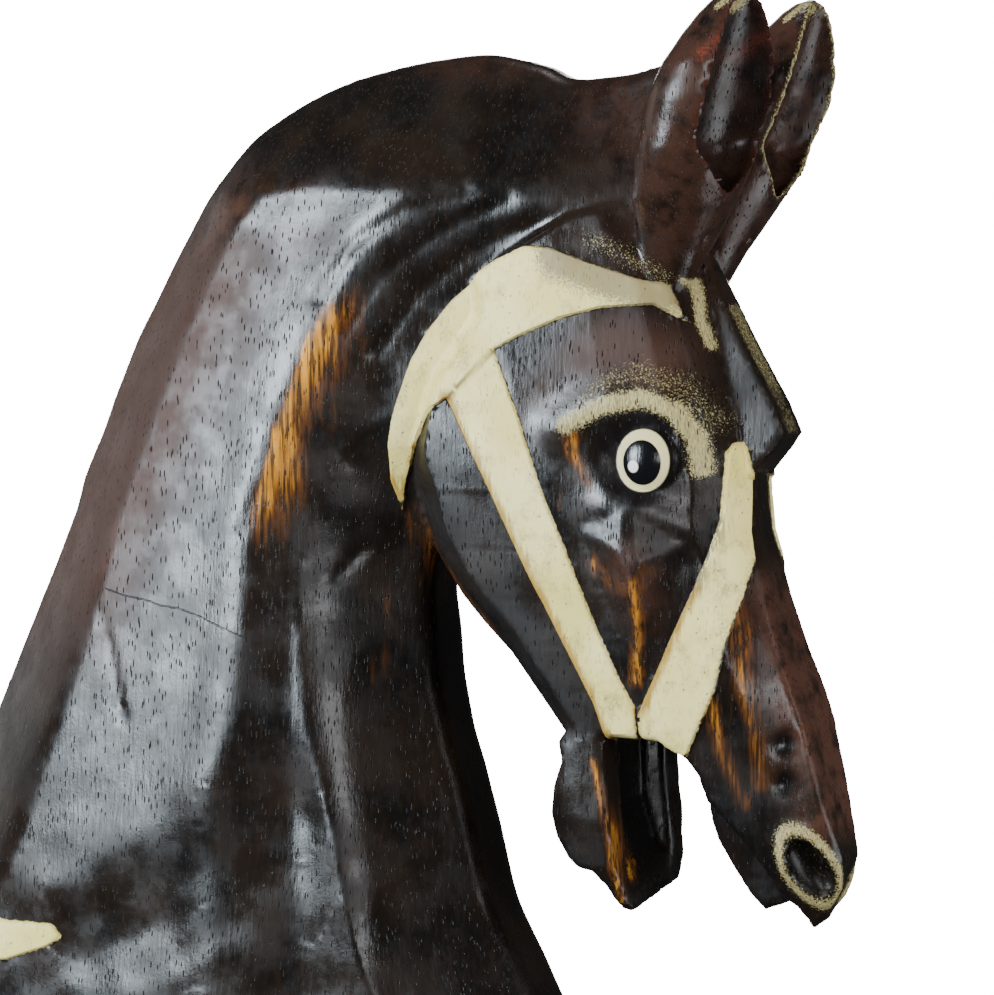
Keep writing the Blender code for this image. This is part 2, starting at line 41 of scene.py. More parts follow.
# The lattice that the surface is drawn on: its spacing on the neck and on the head, and its bounds
COARSE, FINE, SIDE_STRETCH = 3.2, 2.05, 1.1
LATTICE_BACK, HEAD_START, LATTICE_FRONT = -204, 96, 328
LATTICE_HALF_WIDTH, LATTICE_FOOT, LATTICE_TOP = 78, -6, 463
SLOPE_REACH = 0.03         # step over which the form's slope is measured
LEAST_STEEP = 0.05         # a flatter slope counts as this steep
JUST_INSIDE = -0.02        # value given to a corner that is filled
PULL_TO_MIDDLE = 0.08      # keeps a vertex near its cell's middle where the surface is flat
CELL_MARGIN = 0.04         # how far a vertex stays from its cell's walls, as a share of the cell

# Neck: outlines seen from the side as (X, Z)
CREST = [(236, 409), (229, 408), (221, 406), (212, 404), (200, 403), (189, 402.5), (181, 404),
         (173, 408), (160, 411.5), (145, 414), (125, 413), (104, 410), (82, 405.5), (61, 398),
         (45, 390), (30, 380), (12, 361), (1, 345), (-16, 317), (-31, 290), (-46, 257), (-56, 236),
         (-61, 220), (-72.5, 196), (-91, 157), (-114, 109.5), (-135, 68), (-150.5, 39),
         (-198, CUT_BELOW)]
THROAT = [(188, CUT_BELOW), (176, 8), (169, 26), (158, 46), (151, 60), (146, 78), (141.5, 95),
          (136.5, 112), (130.5, 131), (126, 152), (124, 173), (122, 190), (124, 206), (130, 222)]
NECK_FRONT = [(130, 222), (140, 262), (160, 295), (190, 316), (236, 330)]
MANE_EDGE = [(-120, CUT_BELOW), (-60, 73), (-35, 139), (-22, 174), (-10, 218), (5, 257), (21, 295),
             (36, 328), (44, 345), (54, 355), (75, 358), (121, 356), (154, 352), (186, 351),
             (222, 345), (236, 342)]
NECK_HALF_WIDTH = ([-20, 60, 140, 230, 300, 350, 400], [62, 58, 53, 48, 44, 39, 34])
CREST_HALF_WIDTH = 8
THROAT_HALF_WIDTH = 14
THROAT_BEVEL = 54
MANE_EDGE_ROUND, NECK_ROUND = 3.0, 5.0
WIDEST_ROUND = 9

# The neck is widest along this line; its side falls away to both sides of it
WIDEST_LINE = [(121, 353), (95, 324), (77, 295), (64, 262), (52, 219), (51, 169), (41, 118), (36, 60)]
FALL_BACK, FALL_FORWARD = 0.05, 0.15
SIDE_BOW = 1.5             # how full the neck's side swells out between its edge and its middle
THROAT_FULLER = 2          # how much wider the throat's bevel ends than the side it meets

# Soft ridges and hollows of the neck: line, height, width
NECK_RELIEF = [
    (WIDEST_LINE, 1.5, 15),
    ([(104, 222), (102, 187), (101, 145), (103, 103), (110, 79), (116, 25)], 3.0, 14),
    ([(86, 245), (76, 203), (72, 165), (71, 119), (76, 77), (80, 22)], -2.6, 14),
    ([(160, 330), (135, 312), (116, 285), (106, 249), (103, 220), (106, 187)], -3.5, 17),
    ([(61, 134), (35, 108), (-7, 78), (-38, 58)], 1.2, 17),
    ([(74, 96), (50, 72), (19, 52), (-22, 34)], -2.2, 20),
    (NECK_FRONT, -6.0, 16),
    ([(180, 343), (150, 331), (127, 314), (110, 290)], -0.9, 3.6),
    ([(169, 353), (141, 341), (113, 322), (97, 298)], -0.9, 3.6),
    ([(150, 356), (125, 349), (101, 335), (86, 312)], -0.9, 3.6),
]

# Head
FACE = [(226, 352), (240, 338), (246, 318), (254, 292), (261, 268), (266, 252), (269, 240),
        (269.5, 228), (270, 218), (273.5, 204), (276.5, 193), (280.3, 180), (284, 168.5), (289, 156),
        (294.5, 141), (298.5, 124.5), (303, 106), (308, 88), (305, 76), (298, 62), (292.5, 58)]
UPPER_LIP = [(288, 67), (284, 71), (280, 79), (273, 90), (265, 99), (255, 109), (251, 120), (246, 126)]
MOUTH_CORNER = [(236, 134), (214, 135), (200, 128)]
JAW = [(188, 133), (179.5, 144), (171, 154.5), (162, 166), (150, 177), (139, 189), (127, 207),
       (121, 225), (115, 240), (113, 252), (117, 270), (124, 288), (143, 310)]
CHEEK_TOP = [(165, 328), (195, 345)]
# Half width of the head by height and by depth behind the face line
SECTION_HEIGHT = [58, 72, 87, 108, 135, 165, 208, 245, 300, 390]
SECTION_DEPTH = [0, 8, 18, 40, 80]
SECTION_HALF_WIDTH = [[3, 6, 9, 10, 10], [6, 10, 14, 15, 15], [9, 15, 19, 20, 20],
                      [14.5, 18, 21, 23, 24], [16.5, 19, 22, 26, 28], [16.5, 20, 26, 31, 32],
                      [10.5, 20, 29, 36, 37], [6, 19, 31, 38, 40], [9, 26, 33, 37, 39],
                      [9, 22, 28, 30, 30]]
JAW_HALF_WIDTH, JAW_SPREAD = 17, 1.1
HEAD_ROUND, EYE_ROUND, HEAD_BLEND = 2.5, 1.0, 4.0
BROW_RAISED, CHEEK_RAISED, WEDGE_RAISED, WEDGE_SLOPE, DIMPLE_DEPTH = 2.6, 2.0, 4.5, 0.30, 1.6
BROW_WIDTH, CHEEK_WIDTH, DIMPLE_WIDTH = 9, 8, 4.5
BROW_ARCH = [(196, 260), (210, 268), (229, 274), (247, 269), (257, 257)]
CHEEK_BONE = [(218, 228), (232, 226), (250, 219)]
CHEEK_WEDGE = [(205, 219), (225, 228), (251, 214), (243, 190), (229, 153), (215, 190)]
SOCKET_CENTRE, SOCKET_SIZE = (236, 46, 248), (25, 13, 20)
EYE_CENTRE, EYE_SIZE = (232.5, 29, 247), (15, 10, 15.5)
NOSTRIL_CENTRE, NOSTRIL_SIZE = (297, 15, 83), (14.5, 7.5, 7)
NOSTRIL_ALONG = (0.40, -0.40, -0.83)
NOSTRIL_LIP, LIP_REACH, LIP_WIDTH = 0.9, 1.25, 0.25
DIMPLES = [(287, 134), (287, 118)]

# Lower jaw: a trough between two rims, with the near rim set a little further back
LOWER_JAW = [(200, 150), (192, 138), (193.5, 129), (189.5, 119), (187.5, 108), (190, 98), (196, 90),
             (201, 86), (206.5, 84.5), (211, 79), (214, 72.5), (216, 66), (219.5, 65), (219, 74),
             (217, 92), (215, 112), (214, 140)]
TROUGH = [(206, 145), (208, 104), (213, 84), (224, 66), (250, 60), (250, 145)]
LOWER_JAW_SIDE = ([60, 66, 80, 100, 130, 150], [14, 20, 26, 28, 28, 24])
TROUGH_SIDE = ([55, 75, 130], [8, 17, 20])
CHIN_DEPTH, CHIN_NARROWS, TROUGH_NARROWS = 28, 0.34, 0.5
CHIN_START, TROUGH_START = 205, 222    # where the lower jaw and its trough begin to narrow backwards
LOWER_JAW_ROUND, SMALL_ROUND = 2.5, 2.0
JAW_SKEW, JAW_TILT = 0.13, 0.28   # how far the lower jaw's far side lies forward and higher
PALATE = [(242, 140), (251, 120), (251, 104), (254, 93), (260, 83), (268, 71), (274, 65), (285, 70),
          (292, 90), (280, 140)]
PALATE_SIDE = ([66, 110], [9, 13])

# Ears: height, centre forward, and half length across; they lean out as they rise
EAR_PATH = ([305, 331, 351, 371, 391, 411, 430, 434], [232, 238, 244, 251.5, 259, 266, 272, 273])
EAR_SPREAD = ([305, 331, 354, 396, 434], [17, 18.5, 23, 31, 34])
EAR_HALF = ([300, 312, 322, 331, 341, 351, 371, 391, 405, 416, 424, 429, 432.5, 434.5],
            [4, 8, 11.5, 15, 19, 22.5, 26.5, 27, 24.5, 19.5, 15, 11, 6.5, 0.5])
EAR_FLATNESS = ([300, 340, 390, 434], [0.95, 0.88, 0.90, 0.88])
EAR_FOOT = 300
SCOOP_FOOT, SCOOP_RISE, SCOOP_LEAST = 343, 34, 0.3
SCOOP_SHARE, SCOOP_DEPTH, SCOOP_FORWARD = 0.78, 0.85, 0.42
LEAF_SLACK, SCOOP_SLACK = 0.92, 0.8    # scale the ears' ratios down to distances
SCOOP_SET = ([320, 350, 400, 434], [9, 7, 6, 4])
LEAN_START, LEAN_LENGTH = 338, 50

FORELOCK = [(228, 392), (236, 350), (247, 326), (254, 312), (265, 291), (277, 270.5), (282.5, 258),
            (277.5, 251), (268, 240), (259, 242), (245, 270), (225, 330), (214, 380)]
FORELOCK_HALF_WIDTH = ([240, 300, 330, 390], [10.5, 8.5, 6, 8])

# Carved bridle straps on each cheek, and the point of the saddle cloth low on the shoulder
CROWN_STRAP = [(115, 222), (111.5, 237), (113, 252), (118.5, 270), (125, 287), (132, 299), (143, 312),
               (159, 325), (178, 334), (190, 333), (202, 328.5), (213, 325), (229, 320), (240, 318),
               (249, 293), (246, 302), (234, 309), (214, 308), (197, 304), (179, 297), (167, 291),
               (145, 271), (134, 264), (127, 254), (118.5, 237)]
REAR_STRAP = [(140, 280), (145, 271), (160, 242), (177, 206), (194, 173), (204, 153), (207, 147),
              (211, 135), (212.5, 126), (216, 132), (226, 133), (226, 147), (220, 158), (208, 186),
              (198, 212), (189, 234), (179, 263), (173, 277), (167, 291)]
FRONT_STRAP = [(260, 250), (262, 254.5), (265.5, 254.5), (268, 250), (270, 241), (272, 222), (272, 206),
               (270, 192), (266, 178), (260.5, 155), (247.5, 127), (231, 133), (227, 134), (227.5, 146),
               (240, 170), (252, 196), (256, 207), (259.5, 223), (260, 236)]
SADDLE_POINT = [(-36, 37), (-41, 43), (-66, 43), (-150, 52), (-190, 52), (-190, 20), (-66, 25),
                (-45, 32)]
STRAPS_OUT = 5             # the straps are only on the sides, this far from the middle plane
FRONT_STRAP_IN = 1.5       # how far out from the face line's width the front strap begins
REAR_STRAP_FRONT = 236     # behind this X the straps beside the crown strap pass under it,
LOWER_BY, LOWER_OVER = 0.35, 0.8   # lower by this share, over this distance


def meet(a, b, radius):
    """The form that lies in both, with an edge rounded by the radius."""
    inner = np.minimum(-radius, np.maximum(a, b))
    return inner + np.hypot(np.maximum(a + radius, 0), np.maximum(b + radius, 0))


def join(a, b, radius):
    """The form that lies in either, with a fillet of the radius."""
    return -meet(-a, -b, radius)


def smooth_step(t):
    t = np.clip(t, 0, 1)
    return t * t * (3 - 2 * t)


def curve_through(points):
    """A smooth curve through the points, each stretch cut into the same number of steps."""
    p = np.array(points, float)
    p = np.vstack([2 * p[0] - p[1], p, 2 * p[-1] - p[-2]])
    curve = []
    for i in range(1, len(p) - 2):
        before, start, end, after = p[i - 1:i + 3]
        for t in np.arange(CURVE_STEPS) / CURVE_STEPS:
            curve.append(0.5 * (2 * start + (end - before) * t
                                + (2 * before - 5 * start + 4 * end - after) * t ** 2
                                + (3 * start - before - 3 * end + after) * t ** 3))
    curve.append(p[-2])
    return np.array(curve)


def squared_distance(x, z, start, end):
    along_x, along_z = end[0] - start[0], end[1] - start[1]
    length = max(along_x ** 2 + along_z ** 2, 1e-9)
    t = np.clip(((x - start[0]) * along_x + (z - start[1]) * along_z) / length, 0, 1)
    return (x - start[0] - along_x * t) ** 2 + (z - start[1] - along_z * t) ** 2


def line_distance(x, z, line):
    nearest = squared_distance(x, z, line[0], line[1])
    for start, end in zip(line[1:-1], line[2:]):
        nearest = np.minimum(nearest, squared_distance(x, z, start, end))
    return np.sqrt(nearest)


def outline_distance(x, z, outline):
    """Distance to a closed outline in the XZ plane, negative inside it."""
    nearest = np.inf
    inside = False
    for start, end in zip(outline, np.roll(outline, -1, axis=0)):
        nearest = np.minimum(nearest, squared_distance(x, z, start, end))
        if abs(end[1] - start[1]) > 1e-9:
            crossing = (end[0] - start[0]) * (z - start[1]) / (end[1] - start[1]) + start[0]
            inside = inside ^ (((start[1] > z) != (end[1] > z)) & (x < crossing))
    return np.where(inside, -1.0, 1.0) * np.sqrt(nearest)


def ridge(x, z, line, width):
    return np.exp(-(line_distance(x, z, line) / width) ** 2)


def ahead_of(x, z, line):
    """How far in front of the line each point lies at its own height."""
    line_x, heights = np.array(line, float).T
    return x - np.interp(z, heights, line_x)


def section_width(height, depth):
    """Half width of the head, smooth over height and straight between depths."""
    rows, cols = np.array(SECTION_HEIGHT, float), np.array(SECTION_DEPTH, float)
    sizes = np.array(SECTION_HALF_WIDTH, float)
    slopes = np.zeros_like(sizes)
    slopes[1:-1] = (sizes[2:] - sizes[:-2]) / (rows[2:] - rows[:-2])[:, None]
    height, depth = np.broadcast_arrays(height, depth)
    i = np.clip(np.searchsorted(rows, height) - 1, 0, len(rows) - 2)
    j = np.clip(np.searchsorted(cols, depth) - 1, 0, len(cols) - 2)
    span = rows[i + 1] - rows[i]
    u = np.clip((height - rows[i]) / span, 0, 1)
    v = np.clip((depth - cols[j]) / (cols[j + 1] - cols[j]), 0, 1)

    def column(k):
        ends = ((2 * u ** 3 - 3 * u ** 2 + 1) * sizes[i, k]
                + (3 * u ** 2 - 2 * u ** 3) * sizes[i + 1, k])
        bends = (u ** 3 - 2 * u ** 2 + u) * slopes[i, k] + (u ** 3 - u ** 2) * slopes[i + 1, k]
        return ends + bends * span
    return column(j) * (1 - v) + column(j + 1) * v


def ellipsoid(x, y, z, centre, size):
    along, across = (x - centre[0]) / size[0], (abs(y) - centre[1]) / size[1]
    ratio = np.sqrt(along ** 2 + across ** 2 + ((z - centre[2]) / size[2]) ** 2)
    return (ratio - 1) * min(size)


CREST_CURVE = curve_through(CREST)
THROAT_CURVE = curve_through(THROAT)
NECK_OUTLINE = np.vstack([CREST_CURVE, THROAT_CURVE, NECK_FRONT[1:]])
MANE_BAND = np.vstack([CREST_CURVE, MANE_EDGE])
HEAD_OUTLINE = np.array(FACE + UPPER_LIP + MOUTH_CORNER + JAW + CHEEK_TOP, float)


def neck(x, y, z):
    outline = outline_distance(x, z, NECK_OUTLINE)
    forward = ahead_of(x, z, WIDEST_LINE[::-1])
    fall = np.where(forward > 0, FALL_FORWARD, FALL_BACK)
    side = np.interp(z, *NECK_HALF_WIDTH) - fall * (np.hypot(forward, WIDEST_ROUND) - WIDEST_ROUND)
    for line, height, width in NECK_RELIEF:
        side = side + height * ridge(x, z, line, width)
    from_crest = line_distance(x, z, CREST_CURVE)
    in_mane = outline_distance(x, z, MANE_BAND) < 0
    to_mane_edge = np.where(in_mane, line_distance(x, z, MANE_EDGE), 0)
    share = from_crest / np.maximum(from_crest + to_mane_edge, 1e-3)
    mane = CREST_HALF_WIDTH + (side - CREST_HALF_WIDTH) * (1 - (1 - share) ** SIDE_BOW)
    from_throat = np.clip(line_distance(x, z, THROAT_CURVE) / THROAT_BEVEL, 0, 1)
    beyond = side - THROAT_HALF_WIDTH + THROAT_FULLER
    throat = THROAT_HALF_WIDTH + beyond * (1 - (1 - from_throat) ** SIDE_BOW)
    half_width = join(mane, throat, MANE_EDGE_ROUND)
    return meet(outline, abs(y) - half_width, NECK_ROUND)


def nostril(x, y, z):
    """Distance to the nostril's scoop, and how far out from its middle a point is."""
    along = np.array(NOSTRIL_ALONG) / np.linalg.norm(NOSTRIL_ALONG)
    out = np.cross(along, (0, 0, 1))
    out = out * np.sign(out[1])
    out /= np.linalg.norm(out)
    across = np.cross(along, out)
    rel = (x - NOSTRIL_CENTRE[0], abs(y) - NOSTRIL_CENTRE[1], z - NOSTRIL_CENTRE[2])
    parts = [sum(r * a for r, a in zip(rel, axis)) for axis in (along, across, out)]
    scaled = [p / s for p, s in zip(parts, NOSTRIL_SIZE)]
    reach = np.sqrt(sum(s * s for s in scaled))
    return (reach - 1) * min(NOSTRIL_SIZE), reach


def head(x, y, z):
    outline = outline_distance(x, z, HEAD_OUTLINE)
    side = section_width(z, line_distance(x, z, FACE))
    side = side + BROW_RAISED * ridge(x, z, BROW_ARCH, BROW_WIDTH)
    side = side + CHEEK_RAISED * ridge(x, z, CHEEK_BONE, CHEEK_WIDTH)
    side = side + np.clip(-WEDGE_SLOPE * outline_distance(x, z, CHEEK_WEDGE), 0, WEDGE_RAISED)
    for dimple in DIMPLES:
        away = (x - dimple[0]) ** 2 + (z - dimple[1]) ** 2
        side = side - DIMPLE_DEPTH * np.exp(-away / DIMPLE_WIDTH ** 2)
    jaw = JAW_HALF_WIDTH + JAW_SPREAD * line_distance(x, z, JAW)
    form = meet(outline, abs(y) - join(side, jaw, HEAD_ROUND), HEAD_ROUND)
    form = meet(form, -ellipsoid(x, y, z, SOCKET_CENTRE, SOCKET_SIZE), HEAD_ROUND)
    form = join(form, ellipsoid(x, y, z, EYE_CENTRE, EYE_SIZE), EYE_ROUND)
    scoop, reach = nostril(x, y, z)
    form = form - NOSTRIL_LIP * np.exp(-((reach - LIP_REACH) / LIP_WIDTH) ** 2)
    return meet(form, -scoop, EYE_ROUND)


def lower_jaw(x, y, z):
    skewed, tilted = x - JAW_SKEW * y, z - JAW_TILT * y
    outline = outline_distance(skewed, tilted, LOWER_JAW)
    side = np.interp(z, *LOWER_JAW_SIDE)
    side = side - CHIN_NARROWS * np.clip(CHIN_START - skewed, 0, CHIN_DEPTH) ** 2 / CHIN_DEPTH
    form = meet(outline, abs(y) - side, LOWER_JAW_ROUND)
    narrower = TROUGH_NARROWS * np.clip(TROUGH_START - skewed, 0, CHIN_DEPTH)
    gap = np.interp(z, *TROUGH_SIDE) - narrower
    trough = outline_distance(skewed, tilted, TROUGH)
    trough = meet(trough, abs(y) - gap, SMALL_ROUND)
    return meet(form, -trough, SMALL_ROUND)


def palate(x, y, z):
    side = np.interp(z, *PALATE_SIDE)
    return meet(outline_distance(x, z, PALATE), abs(y) - side, SMALL_ROUND)


def ear_forms(x, y, z):
    """Distance functions of the ears' leaves and of the scoops in them."""
    half = np.interp(z, *EAR_HALF)
    thick = half * np.interp(z, *EAR_FLATNESS)
    far_side = y > 0
    lean = FAR_EAR_FORWARD * far_side * smooth_step((z - LEAN_START) / LEAN_LENGTH)
    forward = x - np.interp(z, *EAR_PATH) - lean
    outward = abs(y) - np.interp(z, *EAR_SPREAD)
    angle = np.where(far_side, FAR_SCOOP, NEAR_SCOOP)
    deep = forward * np.cos(angle) + outward * np.sin(angle)
    wide = forward * np.sin(angle) - outward * np.cos(angle)
    leaf = (np.hypot(wide / half, deep / thick) - 1) * thick * LEAF_SLACK
    leaf = np.maximum(leaf, EAR_FOOT - z)
    opened = smooth_step((z - SCOOP_FOOT) / SCOOP_RISE)
    hollow = np.maximum(SCOOP_SHARE * half * opened, SCOOP_LEAST)
    inward = (deep - (np.interp(z, *SCOOP_SET) + thick * SCOOP_FORWARD)) / (hollow * SCOOP_DEPTH)
    return leaf, (np.hypot(wide / hollow, inward) - 1) * hollow * SCOOP_SLACK


def ear(x, y, z):
    leaf, scoop = ear_forms(x, y, z)
    return meet(leaf, -scoop, SMALL_ROUND)


def forelock(x, y, z):
    side = np.interp(z, *FORELOCK_HALF_WIDTH)
    return meet(outline_distance(x, z, FORELOCK), abs(y) - side, SMALL_ROUND)


def horse(x, y, z):
    form = join(neck(x, y, z), head(x, y, z), HEAD_BLEND)
    form = join(form, lower_jaw(x, y, z), SMALL_ROUND)
    form = join(form, palate(x, y, z), SMALL_ROUND)
    form = join(form, ear(x, y, z), SMALL_ROUND)
    return join(form, forelock(x, y, z), EYE_ROUND)


def slope(points):
    """Value and gradient of the form at the points."""
    value = horse(*points.T)
    columns = []
    for axis in range(3):
        shifted = points.copy()
        shifted[:, axis] += SLOPE_REACH
        columns.append((horse(*shifted.T) - value) / SLOPE_REACH)
    return value, np.stack(columns, 1)


def joined(corners):
    """Whether a set of a cube's corners, each a triple of 0 and 1, hangs together along its edges."""
    if not corners:
        return True
    reached, waiting = set(), [corners[0]]
    while waiting:
        corner = waiting.pop()
        if corner in reached:
            continue
        reached.add(corner)
        waiting += [c for c in corners if sum(abs(p - q) for p, q in zip(c, corner)) == 1]
    return len(reached) == len(corners)


def fill_doubtful_cells(value):
    """Fills corners until the surface crosses every lattice cell as one sheet."""
    corners = [(i, j, k) for i in (0, 1) for j in (0, 1) for k in (0, 1)]
    doubtful = []
    for code in range(256):
        filled = [c for n, c in enumerate(corners) if code >> n & 1]
        empty = [c for n, c in enumerate(corners) if not code >> n & 1]
        doubtful.append(not (joined(filled) and joined(empty)))
    doubtful = np.array(doubtful)
    cells = tuple(n - 1 for n in value.shape)
    while True:
        code = np.zeros(cells, np.uint8)
        for n, (i, j, k) in enumerate(corners):
            part = value[i:i + cells[0], j:j + cells[1], k:k + cells[2]]
            code |= (part < 0).astype(np.uint8) << n
        found = np.argwhere(doubtful[code])
        if not len(found):
            return value
        for cell in found:
            around = [tuple(cell + np.array(c)) for c in corners]
            empty = [c for c in around if value[c] >= 0]
            if empty:
                value[min(empty, key=lambda c: value[c])] = JUST_INSIDE


def lattice_axes():
    """Where the lattice's planes lie on each axis; the middle plane is half way between two."""
    step = FINE * SIDE_STRETCH
    across = np.arange(0, LATTICE_HALF_WIDTH, step)
    return [np.concatenate([np.arange(LATTICE_BACK, HEAD_START, COARSE),
                            np.arange(HEAD_START, LATTICE_FRONT, FINE)]),
            np.concatenate([-across[:0:-1], across]) - step / 2,
            np.arange(LATTICE_FOOT, LATTICE_TOP, FINE)]


def crossed_edges(value, axes):
    """Lattice edges that the surface crosses, the points where it does and its normals there."""
    inside = value < 0
    found = []
    for axis in range(3):
        low, high = [slice(None)] * 3, [slice(None)] * 3
        low[axis], high[axis] = slice(0, -1), slice(1, None)
        crossed = np.array(np.nonzero(inside[tuple(low)] != inside[tuple(high)]))
        a, b = value[tuple(low)][tuple(crossed)], value[tuple(high)][tuple(crossed)]
        points = np.stack([axes[k][crossed[k]] for k in range(3)], 1)
        points[:, axis] += np.diff(axes[axis])[crossed[axis]] * a / (a - b)
        error, normal = slope(points)
        steep = np.maximum((normal ** 2).sum(1), LEAST_STEEP)
        points -= normal * (error / steep)[:, None]
        found.append((crossed, points, normal / np.sqrt(steep)[:, None]))
    return found


def cells_around(crossed, axis, corners):
    """The four lattice cells that share each crossed edge."""
    first, second = (axis + 1) % 3, (axis + 2) % 3
    for back_first, back_second in corners:
        cell = crossed.copy()
        cell[first] -= back_first
        cell[second] -= back_second
        yield cell


def draw_surface():
    """One vertex in each lattice cell that the form passes through, set on its creases."""
    axes = lattice_axes()
    value = horse(axes[0][:, None, None], axes[1][None, :, None], axes[2][None, None, :])
    value = fill_doubtful_cells(value)
    cells = tuple(n - 1 for n in value.shape)
    corners = ((1, 1), (0, 1), (0, 0), (1, 0))
    edges = crossed_edges(value, axes)
    keys, points, normals = [], [], []
    for axis, (crossed, found, normal) in enumerate(edges):
        for cell in cells_around(crossed, axis, corners):
            kept = ((cell >= 0) & (cell < np.array(cells)[:, None])).all(0)
            keys.append(np.ravel_multi_index(cell[:, kept], cells))
            points.append(found[kept])
            normals.append(normal[kept])
    used, which = np.unique(np.concatenate(keys), return_inverse=True)
    points, normals = np.vstack(points), np.vstack(normals)
    count = np.bincount(which)[:, None]

    def average(data):
        return np.stack([np.bincount(which, column) for column in data.T], 1) / count

    middle = average(points)
    planes = average((normals[:, :, None] * normals[:, None, :]).reshape(-1, 9))
    rises = average(normals * (normals * points).sum(1)[:, None])
    matrix = planes.reshape(-1, 3, 3) + PULL_TO_MIDDLE * np.eye(3)
    points = np.linalg.solve(matrix, (rises + PULL_TO_MIDDLE * middle)[:, :, None])[:, :, 0]
    corner = np.stack(np.unravel_index(used, cells), 1)
    low = np.stack([axes[k][corner[:, k]] for k in range(3)], 1)
    high = np.stack([axes[k][corner[:, k] + 1] for k in range(3)], 1)
    size = high - low
    points = np.clip(points, low + CELL_MARGIN * size, low + (1 - CELL_MARGIN) * size)
    faces = []
    for axis, (crossed, _, _) in enumerate(edges):
        inner = [(crossed[k] > 0) & (crossed[k] < cells[k]) for k in range(3) if k != axis]
        crossed = crossed[:, inner[0] & inner[1]]
        around = [np.searchsorted(used, np.ravel_multi_index(cell, cells))
                  for cell in cells_around(crossed, axis, corners)]
        quads = np.stack(around, 1)
        turned = value[tuple(crossed)] >= 0
        quads[turned] = quads[turned][:, ::-1]
        faces.append(quads)
    quads = np.vstack(faces)
    short = (np.linalg.norm(points[quads[:, 0]] - points[quads[:, 2]], axis=1)
             <= np.linalg.norm(points[quads[:, 1]] - points[quads[:, 3]], axis=1))[:, None]
    one = np.where(short, quads[:, [0, 1, 2]], quads[:, [0, 1, 3]])
    two = np.where(short, quads[:, [0, 2, 3]], quads[:, [1, 2, 3]])
    return points, np.vstack([one, two])


def split_along(points, triangles, height):
    """Cuts the triangles where height changes sign, so that edges run along its zero line."""
    on_line = 0.25
    height = np.where(abs(height) < on_line, 0.0, height)
    new_points = [points]
    total = len(points)
    made = {}
    kept = []
    high, low = height[triangles].max(1), height[triangles].min(1)
    cut = (high > 0) & (low < 0)
    for triangle in triangles[cut]:
        ring = []
        for k in range(3):
            a, b = int(triangle[k]), int(triangle[(k + 1) % 3])
            ring.append(a)
            if height[a] * height[b] < 0:
                key = (min(a, b), max(a, b))
                if key not in made:
                    made[key] = total
                    t = height[key[0]] / (height[key[0]] - height[key[1]])
                    new_points.append((points[key[0]] * (1 - t) + points[key[1]] * t)[None])
                    total += 1
                ring.append(made[key])
        marks = [height[v] if v < len(points) else 0.0 for v in ring]
        for side in (1, -1):
            part = [v for v, m in zip(ring, marks) if m * side >= 0]
            for k in range(1, len(part) - 1):
                kept.append((part[0], part[k], part[k + 1]))
    return np.vstack(new_points), np.vstack([triangles[~cut], np.array(kept, int).reshape(-1, 3)])


def strap_depth(points):
    """How far inside a strap's outline each point of the surface is, on both cheeks."""
    x, y, z = points.T
    outside = np.minimum(outline_distance(x, z, CROWN_STRAP), outline_distance(x, z, REAR_STRAP))
    front_edge = section_width(z, 0 * z) + FRONT_STRAP_IN
    front = np.maximum(outline_distance(x, z, FRONT_STRAP), front_edge - abs(y))
    outside = np.minimum(outside, front)
    outside = np.minimum(outside, outline_distance(x, z, SADDLE_POINT))
    return -np.maximum(outside, STRAPS_OUT - abs(y))


def raise_straps(points, triangles):
    """Moves the straps' surface outwards, with a sloped edge along their outlines."""
    points, triangles = split_along(points, triangles, strap_depth(points))
    points, triangles = split_along(points, triangles, strap_depth(points) - STRAP_BEVEL)
    lift = STRAP_RAISED * np.clip(strap_depth(points) / STRAP_BEVEL, 0, 1)
    from_crown = outline_distance(points[:, 0], points[:, 2], CROWN_STRAP)
    lower = np.clip(from_crown / LOWER_OVER, 0, 1) * (points[:, 0] < REAR_STRAP_FRONT)
    lift = lift * (1 - LOWER_BY * lower)
    _, normal = slope(points)
    normal /= np.maximum(np.linalg.norm(normal, axis=1), 1e-6)[:, None]
    return points + normal * lift[:, None], triangles


# Painted and worn places, seen from the side: line of (X, Z), width, strength
CREAM_TRACES = [
    ([(200, 261), (216, 269), (232, 272), (245, 267), (252, 256), (254, 244)], 4.8, 0.95),
    ([(206, 268), (216, 278), (231, 282), (246, 277), (256, 262)], 9, 0.42),
    ([(244, 319), (246, 312), (248, 303), (252, 292)], 1.8, 0.85),
    ([(205, 336), (222, 330), (238, 321)], 7, 0.40),
]
FORELOCK_PAINT = [([(256, 308), (266, 289), (276, 269), (281, 259)], 3, 0.52)]
EAR_TIP_PAINT = [([(270, 426), (275, 432)], 2.6, 0.75)]
EAR_SCRAPE = [([(266, 407), (273, 413), (281, 417)], 2.4, 0.8)]
CHEEK_BROWN = [([(208, 288), (222, 294), (236, 288)], 13, 0.8)]
DULL_PLACES = [
    ([(128, 240), (136, 222), (150, 202), (172, 172), (190, 145)], 16, 1.0),
    ([(262, 298), (274, 268)], 9, 0.8),
]
STRAP_DIRT = [([(194, 330), (212, 323), (238, 315)], 13, 1.1)]
STRAP_SCUFF = [([(259, 222), (256, 208), (252, 197)], 4, 1.0)]
RUST_EDGES = [
    ([(145, 271), (177, 206), (204, 153), (211, 135)], 4.5, 1.0),
    ([(111, 237), (115, 223), (127, 250)], 4.5, 1.0),
    ([(252, 196), (240, 170), (228, 146)], 4.5, 1.0),
]
